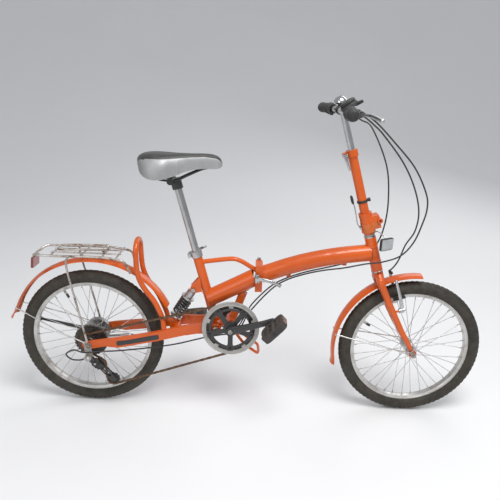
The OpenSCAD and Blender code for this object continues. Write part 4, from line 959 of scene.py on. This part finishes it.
# brake levers: a cast blade that curves out to a ball, with a rib along its outer face
def leverShell():
    path = smooth([[34, clampAt - 4, -4], [46, clampAt + 10, -4.6], [57, clampAt + 30, -5.5],
                   [65, clampAt + 60, -8.0], [71, clampAt + 92, -11], [76, clampAt + 120, -13]], 8)
    s = np.linspace(0, 1, len(path))
    wide = np.interp(s, [0, 0.2, 0.5, 0.85, 1], [5.0, 4.6, 4.0, 3.8, 4.4])
    tall = np.interp(s, [0, 0.1, 0.25, 0.6, 1], [2.9, 3.4, 5.2, 5.8, 5.6])
    blade = sweep(path, wide, tall, up=upright, power=2.8, sides=24, round=2.6)
    rib = sweep(path[6:-4] + [2.8, 0, 0], 1.6, 2.4, up=upright, power=2.4, sides=12, round=1.2)
    ball = softBox(path[-1], [6.2, 6.2, 6.6], 2.2)
    hub = lathe([(6.3, -2.7), (6.6, -2.3), (6.6, 2.3), (6.3, 2.7)], leverAt, upright, 32)
    return joined([blade, rib, ball, hub])


for side, body in ((1, "left_lever"), (-1, "right_lever")):
    name = "left" if side > 0 else "right"
    addPiece(name + "BrakeBlade", halfShell(leverShell(), side), satinAlloy, body,
             ["brake_lever_" + name])
shells, bolts = [], []
for side in (1, -1):
    body = [lathe([(15.6, -9), (16.6, -8), (16.6, 8), (15.6, 9), (11.2, 9), (11.2, -9)],
                  [0, clampAt, 0], sideways, 40, closed=True),
            softBox([22, clampAt - 4, 2.6], [15, 11.5, 3.4], 4),
            softBox([22, clampAt - 4, -10.6], [14, 10.5, 2.6], 4),
            softBox([13, clampAt - 12, -4], [7.5, 4.5, 9.2], 4),
            lathe([(5.4, 0), (5.8, 2), (5.8, 12), (4.6, 14), (4.2, 20), (3.4, 21)],
                  [24, clampAt - 14, -4], [0.35, -1, 0], 20,
                  ripple=lambda i, a: 0.35 * np.sign(np.sin(a * 9)) * (i < 3)),
            softBox([-2, clampAt, -17.5], [5.5, 7.5, 4.0], 4)]
    shells.append(halfShell(joined(body), side))
    bolts.append(halfShell(joined([boltHead([34, clampAt - 4, 5.8], upright, 8, 2.0),
                                   boltHead([-6.5, clampAt, -17.5], [-1, 0, 0], 6.5, 2.6)]), side))
pod = {"y": -112.0, "ahead": 8.0, "tilt": math.radians(34)}


# a point on the thumb shifter, whose face tips back towards the rider
def onPod(x, y, z):
    c, s = math.cos(pod["tilt"]), math.sin(pod["tilt"])
    x = x + pod["ahead"]
    return barCentre + np.array([x * c - z * s, pod["y"] + y, x * s + z * c])


podAxis = [-math.sin(pod["tilt"]), 0, math.cos(pod["tilt"])]
shells += [lathe([(24.6, 0), (26, 1.5), (26, 9), (25, 11.6), (22, 13.6), (5.2, 13.8)],
                 onPod(0, 0, 10), podAxis, 48),
           lathe([(15.4, -8), (16.4, -7), (16.4, 7), (15.4, 8), (11.2, 8), (11.2, -8)],
                 barCentre + [-1.2, pod["y"], 0], sideways, 40, closed=True),
           sweep([onPod(16, -12, 12), onPod(26, -17, 11), onPod(36, -20, 10)], [6.0, 5.2, 4.4],
                 sides=16, round=1.5)]
addPiece("leverBrackets", shells, blackPlastic, "cockpit", ["shifter"])
addPiece("bracketBolts", joined(bolts), zincSteel, "cockpit")
shells = [lathe([(22.6, 24.4), (23, 25.2), (23, 29), (22, 31.2), (19, 32.4), (9, 32.8),
                 (8, 32.2), (1, 32.2)], onPod(0, 0, 0), podAxis, 48,
                ripple=lambda i, a: 0.4 * np.sign(np.sin(a * 20)) * ((i > 0) & (i < 3))),
          sweep(smooth([onPod(-14, 0, 27.5), onPod(-24, 1, 28), onPod(-34, 2, 29),
                        onPod(-40, 3, 30.5)], 5),
                [8, 8, 7.8, 7.6, 7.4, 7.2, 7, 6.8, 6.6, 6.4, 6.2, 6, 6, 6, 6, 6],
                2.3, up=podAxis, power=3.5, sides=24, round=2.0)]
addPiece("shiftThumbDial", shells, blackPlastic, "gear_dial",
         ["shift_dial"])
# bell: a thin dome on a stalk, with a striker lever on a spring
bellAt = barCentre + [0, 60, 0]
a = np.linspace(0, math.pi / 2, 16)
dome = [(22 * math.cos(x), 22.4 + 21.4 * math.sin(x)) for x in a[:-1]] + [(0.6, 43.8)]
shells = [lathe([(21.0, 22.4), (22, 22.2)] + dome, bellAt, upright, 56),
          lathe([(3.2, 43.4), (3.2, 45.2), (2.2, 46.2)], bellAt, upright, 20)]
addPiece("bellDome", shells, brightChrome, "cockpit", ["bell"])
shells = [lathe([(14.0, -6.5), (14.7, -5.5), (14.7, 5.5), (14.0, 6.5), (11.8, 6.5), (11.8, -6.5)],
                bellAt, sideways, 36, closed=True),
          lathe([(8, 13), (8, 17), (16, 18.5), (17, 20.4), (15, 21.4), (3, 21.8)], bellAt,
                upright, 32),
          sweep(smooth([bellAt + [6, -12, 19], bellAt + [2, -22, 20], bellAt + [-8, -30, 21]], 5),
                3.6, 1.3, up=upright, power=3, sides=16, round=1.2)]
addPiece("bellBase", shells, blackPlastic, "cockpit")
print("cockpit made")

# cables: one smooth line each, cut where it passes from one body to the next
wires = {
    "frontBrake": [[838, -146, 1050], [862, -120, 1042], [900, -88, 1018], [938, -60, 988],
                   [1015, -30, 905], [1063, -24, 824], [1088, -20, 747], [1086, -14, 681],
                   [1064, -4, 629], [1052, 6, 575], [1040, 20, 540], [1032, 40, 520]],
    "gear": [[842, -112, 1062], [900, -90, 1030], [973, -50, 970], [1051, -36, 892],
             [1098, -36, 811], [1107, -38, 762], [1096, -44, 711], [1075, -48, 651],
             [1038, -50, 605], [984, -44, 580], [930, -36, 568], [863, -20, 546],
             [800, -10, 532], [735, -8, 515], [671, -8, 490], [620, -14, 455], [551, -18, 372],
             [530, -20, 330], [508, -16, 290], [470, -20, 285], [400, -40, 280], [300, -54, 258],
             [200, -68, 246], [100, -76, 236], [40, -88, 238], [-4, -99, 238], [-40, -98, 246],
             [-68, -92, 226], [-54, -86, 204], [-30, -84, 200], [-12, -84, 204]],
    "rearBrake": [[838, 146, 1050], [862, 120, 1043], [896, 92, 1024], [930, 70, 1000],
                  [981, 36, 886], [999, 32, 773], [996, 34, 680], [975, 38, 610], [930, 38, 568],
                  [863, 22, 546], [800, 12, 532], [735, 10, 515], [671, 10, 490],
                  [620, 16, 455], [560, 24, 385], [534, 30, 330], [500, 38, 280],
                  [430, 50, 282], [340, 60, 262], [240, 70, 240], [170, 70, 226],
                  [118, 62, 228]],
}
cableRadius = 2.5
# where each run of a cable ends, and the bodies it starts and finishes on
crossings = {
    "frontBrake": [(4, "cockpit", "handle_post"), (9, "handle_post", "steering"),
                   (11, "steering", None)],
    "gear": [(3, "cockpit", "handle_post"), (7, "handle_post", "steering"),
             (10, "steering", "front_frame"), (14, "front_frame", None),
             (18, "front_frame", "rear_frame"), (20, "rear_frame", "swing_arm"),
             (30, "swing_arm", None)],
    "rearBrake": [(4, "cockpit", "handle_post"), (6, "handle_post", "steering"),
                  (8, "steering", "front_frame"), (12, "front_frame", None),
                  (16, "front_frame", "rear_frame"), (17, "rear_frame", "swing_arm"),
                  (21, "swing_arm", None)],
}
cableSteps = 12
for wireName, points in wires.items():
    line = smooth(points, cableSteps)
    a = 0
    for k, (b, first, second) in enumerate(crossings[wireName]):
        part = line[a * cableSteps:b * cableSteps + 1]
        shell = sweep(part, cableRadius, sides=14)
        hidden = ["cables"] if wireName == "gear" and k == 0 else []
        piece = addPiece(f"{wireName}Cable{k + 1}", shell, cableJacket,
                         None if second else first, hidden)
        if second:
            p, q = part[0], part[-1]
            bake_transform(piece)
        a = b
print("cables made")
guards = {"rearRadius": 290.0, "frontRadius": 277.0, "half": 25.5, "rearFlare": 7.0,
          "frontFlare": 5.0, "crown": 50.0, "sheet": 1.4, "stayRadius": 2.1}


# a thin sheet: its outside and inside surfaces, closed along all four borders
def sheet(outside, inside):
    rows, m = outside.shape[:2]
    points, faces = gridShell(np.concatenate([outside, inside[:, ::-1]], 1), caps=False)
    k = np.arange(m - 1)
    for base in (0, (rows - 1) * 2 * m):
        ends = np.stack([k, k + 1, 2 * m - 2 - k, 2 * m - 1 - k], -1) + base
        faces += ends.tolist()
    return points, faces


# a mudguard: an arc about the wheel whose crowned section is r(y) = r - c + sqrt(c * c - y * y)
def mudguard(centre, radius, start, end, half, flare):
    a = np.radians(np.linspace(start, end, 120))[:, None]
    t = np.linspace(0, 1, 120)[:, None]
    y = np.linspace(-1, 1, 25)[None, :] * half * (1 + 0.10 * np.clip((t - 0.93) / 0.07, 0, 1))
    crown = guards["crown"]
    bend = flare * np.clip((t - 0.93) / 0.07, 0, 1) ** 2
    rib = 0.9 * np.exp(-(y / 3.0) ** 2) + 0.7 * np.exp(-((np.abs(y) - 0.62 * half) / 2.0) ** 2)
    r = radius - crown + np.sqrt(crown ** 2 - y ** 2) + bend + rib
    centre = np.asarray(centre, float)

    def skin(r):
        return centre + np.stack([r * np.cos(a), y + 0 * a, r * np.sin(a)], -1)
    outside, inside = skin(r), skin(r - guards["sheet"])
    shells = [sheet(outside, inside)]
    for side in (0, -1):
        shells.append(sweep(outside[:, side] - 0.7 * (outside[:, side] - centre)
                            / radius, 1.5, sides=8))
    shells.append(sweep(outside[-1], 1.5, sides=8))
    return joined(shells)


def wireStay(points):
    path = smooth(points, 8)
    eye = lathe([(3.2, -1.6), (7.0, -1.6), (7.0, 1.6), (3.2, 1.6)], path[0], sideways, 24,
                closed=True)
    return joined([sweep(path, guards["stayRadius"], sides=12, round=1.5), eye,
                   boltHead(path[-1] + [0, 1.0, 0], sideways, 8.0, 3.4)])


rearGuardAt = [10.0, 0.0, 256.0]
addPiece("rearGuard", mudguard(rearGuardAt, guards["rearRadius"], 26.0, 166.6, guards["half"],
                               guards["rearFlare"]),
         orangePaint, "swing_arm", ["rear_mudguard"])
addPiece("frontGuard", mudguard(frontAxle, guards["frontRadius"], 88.0, 194.0, guards["half"],
                                guards["frontFlare"]),
         orangePaint, "steering", ["front_mudguard"])
rearStay = wireStay([[-6, 78, 262], [-90, 68, 296], [-180, 45, 332], [-253, 25.5, 361]])
frontStay = wireStay([[1119, 60, 256], [1040, 54, 268], [940, 42, 286], [857, 25.5, 301]])
addPiece("rearGuardStays", joined([rearStay, mirrored(rearStay)]), steelWire, "swing_arm")
addPiece("frontGuardStays", joined([frontStay, mirrored(frontStay)]), steelWire, "steering")
print("mudguards made")

# shock: the coil between its two seats
shock = {"coilRadius": 18.3, "wire": 3.6, "turns": 6.0, "from": 46.0, "to": 112.0}
shockTop = np.array([356.0, 0.0, 446.0])
shockFoot = np.array([284.0, 0.0, 326.0])
shockDown = (shockFoot - shockTop) / np.linalg.norm(shockFoot - shockTop)
shockSide = np.cross(sideways, shockDown)
t = np.linspace(0, 1, 260)
climb = shock["from"] + (shock["to"] - shock["from"]) * (0.04 + 0.92 * t)
a = 2 * math.pi * shock["turns"] * t
coil = (shockTop + climb[:, None] * shockDown
        + shock["coilRadius"] * (np.cos(a)[:, None] * sideways + np.sin(a)[:, None] * shockSide))
spring = addPiece("shockCoil", sweep(coil, shock["wire"], up=shockDown, sides=12, round=2.0),
                  blackPaint, None, ["shock_spring"], sharp=60)
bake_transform(spring)

# frame: welded seams where the tubes meet
mainStart = np.array([409.5, 0.0, 411.5])
mainWay = np.array([566.0, 0.0, 495.0]) - mainStart
mainWay /= np.linalg.norm(mainWay)
downTube = np.array([528.0, 0.0, 440.0])
seams = [meeting(seatFoot, seatUp, 16, mainStart, mainWay, 30, 1),
         meeting(seatFoot, seatUp, 16, mainStart, mainWay, 30, -1),
         meeting(crankAt, downTube - crankAt, 14.3, mainStart, mainWay, 30, -1),
         meeting(downTube, crankAt - downTube, 14.3, crankAt, sideways, 20, -1)]
addPiece("frameWelds", joined([weld(line, 1.7) for line in seams]), orangePaint, "rear_frame")
archWay = np.array([950.0, 0.0, 597.0]) - np.array([850.0, 0.0, 583.0])
seams = [meeting(steerFoot, steerUp, 19, [850, 0, 583], archWay, 29, side) for side in (1, -1)]
addPiece("headWelds", joined([weld(line, 1.7) for line in seams]), orangePaint, "front_frame")


# a flat cam lever, its half width given as a function of the share s of its length
def flatLever(points, wide, tall, sides, round):
    path = smooth(points, 8)
    s = np.linspace(0, 1, len(path))
    return sweep(path, wide(s), tall - 1.0 * s, up=sideways, power=3.0, sides=sides, round=round)


# frame hinge: a clamp barrel with a curved flat lever
barrel = lathe([(8.6, -7), (9.2, -6), (9.2, 17), (8.6, 18), (4.0, 18.4)], [572, -44, 499],
               upright, 40)
blade = flatLever([[570, -45, 504], [584, -50, 505], [606, -54, 503], [632, -56.5, 496],
                   [650, -56, 487]],
                  lambda s: 6.8 - 2.0 * s + 1.2 * np.exp(-((s - 1) / 0.12) ** 2), 4.2, 24, 3.0)
addPiece("hingeLever", [barrel, blade, hexNut([572, -44, 519], upright, 11, 5)],
         brightChrome, "frame_lever", ["frame_hinge_lever"])

# headset cups, stacked in steps
cups = [lathe([(14.4, -5.2), (18, -5.2), (20.6, -3.6), (20.6, -1.6), (19.4, -1.2), (19.4, 0),
               (14.4, 0)], onSteering(0, 0, 16.0), steerUp, 48, closed=True),
        lathe([(14.4, 0), (19.4, 0), (20, 1.2), (20, 4.0), (17.6, 5.0), (17.6, 6.6), (19.0, 7.2),
               (17.0, 9.0), (14.4, 9.0)], onSteering(0, 0, 137.0), steerUp, 48, closed=True)]
addPiece("headsetCups", joined(cups), brightChrome, "front_frame", ["headset"])

# stem catch: a steel strap from its rear pivot up to a black loop handle
strap = smooth([onSteering(-24, 0, 176), onSteering(-31, 0, 190), onSteering(-29.5, 0, 222),
                onSteering(-29, 0, 250), onSteering(-31, 0, 266)], 8)
pivotPin = lathe([(3.0, -9.6), (4.2, -9), (4.2, 9), (3.0, 9.6)], onSteering(-24, 0, 176),
                 sideways, 24)
addPiece("stemCatch", joined([sweep(strap, 1.9, 5.2, up=sideways, power=3.5, sides=20,
                                    round=1.2), pivotPin]),
         brightChrome, "stem_catch", ["stem_lever"])
a = np.linspace(0, 2 * math.pi, 48, endpoint=False)
loopY = 10.6 * np.sign(np.cos(a)) * np.abs(np.cos(a)) ** 0.6
loopS = 275 + 11.5 * np.sign(np.sin(a)) * np.abs(np.sin(a)) ** 0.6
loop = np.stack([onSteering(-31.5, y, h) for y, h in zip(loopY, loopS)])
addPiece("stemCatchLoop", sweep(loop, 3.2, up=steerFwd, sides=14, closed=True), gripRubber,
         "stem_catch")
band = lathe([(15.1, -4), (17.2, -4), (17.6, -3), (17.6, 3), (17.2, 4), (15.1, 4)],
             onSteering(0, 0, 262), steerUp, 48, closed=True)
knob = lathe([(3, 0), (4.5, 0), (6, 4), (6.4, 8), (5.6, 10.5), (2, 11)],
             onSteering(16, 0, 262), steerFwd, 24)
addPiece("postBand", joined([band, knob]), blackPlastic, "handle_post")

# post clamp lever: a barrel with a stepped cam lever that hangs down
blade = flatLever([onSteering(-25, -23, 422), onSteering(-25.5, -24.5, 410),
                   onSteering(-24, -24, 392), onSteering(-22, -22.5, 376)],
                  lambda s: 5.6 - 1.8 * s + 0.7 * (s < 0.4), 3.3, 20, 2.0)
camBarrel = lathe([(4.5, -7), (5.9, -6.4), (5.9, 6.4), (4.5, 7)], onSteering(-25, -20, 423),
                  steerFwd, 32)
addPiece("postLever", [camBarrel, blade], brightChrome, "post_lever",
         ["post_clamp_lever"])

# front reflector: a dark frame round a ribbed lens, on a bent wire from the head
reflector = {"at": np.array([992.0, -20.0, 634.0]), "turn": math.radians(-58)}


def onReflector(shell):
    return moved(turned(shell, (0, 0, 1), reflector["turn"], np.zeros(3)), reflector["at"])


case = softBox([5, 0, 1], [4.6, 28, 21], power=9, rows=25, cols=48)
y, z = np.meshgrid(np.linspace(-25, 25, 101), np.linspace(-17, 19, 37), indexing="ij")
ribs = 10.4 + 0.7 * np.abs(np.sin(y * math.pi / 4)) + 0.35 * np.abs(np.sin(z * math.pi / 6))
face = np.stack([ribs, y, z], -1)
lens = sheet(face, face - [3.0, 0, 0])
addPiece("reflectorCase", onReflector(case), blackPlastic, "steering",
         ["front_reflector"])
addPiece("reflectorLens", onReflector(lens), clearLens, "steering")
bracketWire = smooth([onSteering(15, 1, 147), onSteering(30, 0, 147), [990, -8, 655],
                      [990, -20, 648], [990, -22, 634]], 8)
bracketRing = lathe([(14.4, -0.8), (18, -0.8), (18, 0.8), (14.4, 0.8)], onSteering(0, 0, 147.1),
                    steerUp, 40, closed=True)
addPiece("reflectorBracket", joined([sweep(bracketWire, 2.0, sides=12, round=1.0), bracketRing]),
         steelWire, "steering")

# front brake: cast arms on their bosses, pads in black shoes, the boot over the cable
for name, side in (("left", 1), ("right", -1)):
    armPath = smooth([onSteering(48, side * 42, -136), onSteering(49, side * 44.5, -112),
                      onSteering(50, side * 43, -80), onSteering(49, side * 40.5, -50),
                      onSteering(48, side * 41, -24)], 8)
    s = np.linspace(0, 1, len(armPath))
    arm = sweep(armPath, 4.0 - 0.8 * s, 7.0 - 2.6 * s, up=steerFwd, power=2.8, sides=20,
                round=2.5)
    boss = lathe([(4.6, -9), (8, -9), (8.2, -7), (8.2, 7), (8, 9), (4.6, 9)],
                 onSteering(45, side * 42, -134), steerFwd, 36, closed=True)
    post = lathe([(3.4, 0), (3.4, 22), (6.0, 22.2), (6.0, 25), (4, 26)],
                 onSteering(49, side * 22, -97), [0, side, 0], 24)
    bolt = boltHead(onSteering(54, side * 42, -134), steerFwd, 9, 5)
    addPiece(name + "BrakeArm", joined([arm, boss, post, bolt]), satinAlloy,
             name + "_brake_arm", ["brake_arm_" + name])
    shoe = softBox(onSteering(51, side * 19.2, -99), [21.5, 4.8, 4.2], power=5,
                   turn=[steerFwd, sideways, steerUp])
    addPiece(name + "BrakePad", shoe, gripRubber, name + "_brake_arm")
bootPath = smooth([onSteering(48, 41, -22), onSteering(49, 30, -17), onSteering(49, 14, -16)], 10)
s = np.linspace(0, 1, len(bootPath))
addPiece("brakeBoot", sweep(bootPath, 4.2 + 0.5 * np.sin(s * 40), sides=16, round=1.5),
         gripRubber, "left_brake_arm")
print("steering trim made")

# rack: one bent wire loop, legs, struts, crossbars and the spring clip
rackZ = 566.0
out = 58.0
half = [[128, out, 556], [60, out, rackZ], [-60, out, rackZ], [-130, out, rackZ],
        [-160, 50, rackZ], [-176, 26, 556], [-180, 0, 552]]
outline = half + [[x, -y, z] for x, y, z in half[-2::-1]]
leg = sweep(smooth([[118, out, 559], [134, out, 550], [142, 50, 528], [146, 34, 506]], 8), 4.0,
            sides=14, round=1.5)
strut = sweep(smooth([[-48, out + 5, rackZ + 2], [-52, out + 14, 530], [-20, 80, 380],
                      [2, 84, 276]], 12), 3.5, sides=14, round=1.5)
strutBolt = boltHead([2, 87, 272], sideways, 11, 4)
clampBolt = boltHead([-48, out + 8, rackZ], sideways, 9, 4)
shells = [sweep(smooth(outline, 8), 4.0, sides=14, round=1.5)]
for shell in (leg, strut, strutBolt, clampBolt):
    shells += [shell, mirrored(shell)]
for x in (-110, -10, 60, 108):
    shells.append(sweep([[x, -out, rackZ], [x, 0, rackZ + 0.6], [x, out, rackZ]], 3.0, sides=12))
for y in (-20, 20):
    shells.append(sweep([[-118, y, rackZ + 1], [0, y, rackZ + 1], [114, y, rackZ + 1]], 3.0,
                        sides=12, round=1.0))
addPiece("rackWires", shells, rustyChrome, "swing_arm", ["rack"])
clipZ = rackZ + 13
clip = [[58, -30, clipZ + 3], [0, -30, clipZ + 2], [-80, -30, clipZ], [-92, -24, clipZ],
        [-92, 0, clipZ], [-92, 24, clipZ], [-80, 30, clipZ], [0, 30, clipZ + 2],
        [58, 30, clipZ + 3]]
shells = [sweep(smooth(clip, 8), 2.9, sides=12, round=1.0)]
for side in (1, -1):
    t = np.linspace(0, 1, 90)
    coilA = t * 2 * math.pi * 4
    turnsAt = np.stack([60 + 5.6 * np.cos(coilA), side * (12 + 16 * t),
                        clipZ + 5.6 * np.sin(coilA)], -1)
    shells.append(sweep(turnsAt, 1.5, up=sideways, sides=10, round=0.8))
shells.append(lathe([(2.2, -32), (4.2, -31.6), (4.2, 31.6), (2.2, 32)], [60, 0, clipZ], sideways,
                    24, closed=True))
addPiece("rackClip", shells, rustyChrome, "rack_spring", ["rack_clip"])

# rear reflector: a red prism plate in a raised rim
y, z = np.meshgrid(np.linspace(-26, 26, 105), np.linspace(1, 37, 73), indexing="ij")
edge = np.minimum(26 - np.abs(y), np.minimum(z - 1, 37 - z))
depth = np.where(edge < 3, 0.4, 1.6 + 0.5 * np.abs(np.sin(y * 1.05)) * np.abs(np.sin(z * 1.05)))
face = np.stack([depth, y, z], -1)
plateShell = sheet(face, np.stack([8.6 + 0 * y, y, z], -1))
redAt = np.array([-190.0, 0.0, 509.0])
addPiece("redReflector", moved(turned(plateShell, (0, 1, 0), math.radians(6), np.zeros(3)),
                               redAt), redLens, "swing_arm", ["rear_reflector"])

# kickstand: a tapered leg with a pressed foot, folded back along the wheel
standAt = np.array([-34.0, 84.0, 232.0])
standWay = np.array([-math.sin(math.radians(78)), 0.0, math.cos(math.radians(78))])
t = np.linspace(0, 1, 40)
legPath = standAt + 196 * t[:, None] * standWay
footPath = standAt + np.array([186.0, 192.0, 204.0])[:, None] * standWay
shells = [sweep(legPath, 7.4 - 2.6 * t, sides=24),
          lathe([(7, -7.6), (11, -7.4), (11, 5), (9.5, 6), (4, 6)], standAt, sideways, 40),
          sweep(footPath, [7.2, 8.0, 7.2], sides=20, power=2.6, round=2.0),
          boltHead(standAt + [0, 6, 0], sideways, 11, 4)]
addPiece("standLeg", shells, blackPaint, "stand", ["kickstand"])

# seat clamp lever: a flat curved cam lever
blade = flatLever([onSeat(-23, 20, 266), onSeat(-8, 26, 269), onSeat(8, 27.5, 272),
                   onSeat(33, 26, 276)], lambda s: 5.4 - 1.4 * s, 3.4, 20, 2.2)
cam = lathe([(5, -6), (6.5, -5.4), (6.5, 5.4), (5, 6)], onSeat(-23, 20, 266), seatUp, 32)
addPiece("seatLever", [cam, blade], brightChrome, "seat_lever", ["seat_clamp_lever"])

# axle nuts over the CAD axles
for body, centre, spots, flats in (("swing_arm", rearAxle, (77.5, -80.5), 17.0),
                                   ("steering", frontAxle, (63.5, -63.5), 15.0)):
    shells = [hexNut(centre + [0, y, 0], sideways, flats + 1, 9.4, bore=9.0) for y in spots]
    addPiece(body + "AxleNuts", shells, zincSteel, body, sharp=25)
# a blank black strip along the outer side of the right stay
strip = smooth([[105, -74.4, 263.5], [150, -70.4, 270.5], [195, -66.4, 278.5],
                [238, -62.0, 286]], 8)
addPiece("stayStrip", sweep(strip, 8.6, 1.5, up=sideways, power=4.0, sides=24, round=5.0),
         blackPaint, "swing_arm")
print("rear trim made")

# floor and light
floorMesh = bpy.data.meshes.new("floorCloth")
n = 60
x, y = np.meshgrid(np.linspace(-8, 8, n), np.linspace(-6, 10, n), indexing="ij")
z = np.where(y > 2.5, (y - 2.5) ** 2 * 0.10, 0.0)
floorMesh.from_pydata(np.stack([x, y, z], -1).reshape(-1, 3).tolist(), [],
                      gridFaces(n, n)[:, ::-1].tolist())
floorMesh.polygons.foreach_set("use_smooth", [True] * len(floorMesh.polygons))
floor = inScene("floorCloth", floorMesh)
floorTone = finish("floorTone", (0.83, 0.83, 0.83), (0.81, 0.81, 0.81), 0.6, (0.75, 0.85))
floorMesh.materials.append(floorTone)
world = bpy.data.worlds.new("studio")
world.use_nodes = True
world.node_tree.nodes["Background"].inputs["Color"].default_value = (0.93, 0.95, 1.0, 1)
world.node_tree.nodes["Background"].inputs["Strength"].default_value = 0.50
bpy.context.scene.world = world
lights = {"above": ((0.6, -1.2, 3.2), (0, 0, 0.5), 78.0, 1.5),
          "front": ((-2.2, -3.4, 2.4), (0, 0, 0.5), 34.0, 2.4),
          "behind": ((2.0, 2.8, 2.6), (0, 0, 0.6), 34.0, 2.6)}
for name, (place, aim, power, size) in lights.items():
    data = bpy.data.lights.new(name, "AREA")
    data.energy, data.size = power, size
    lamp = inScene(name, data)
    way = np.asarray(aim, float) - place
    way /= np.linalg.norm(way)
    side = np.cross(way, [0, 0, 1.0])
    side /= np.linalg.norm(side)
    lamp.matrix_world = (Matrix.Translation(place)
                         @ Matrix((side, np.cross(side, way), -way)).transposed().to_4x4())
bpy.context.scene.view_settings.view_transform = "Standard"

print("scene ready")
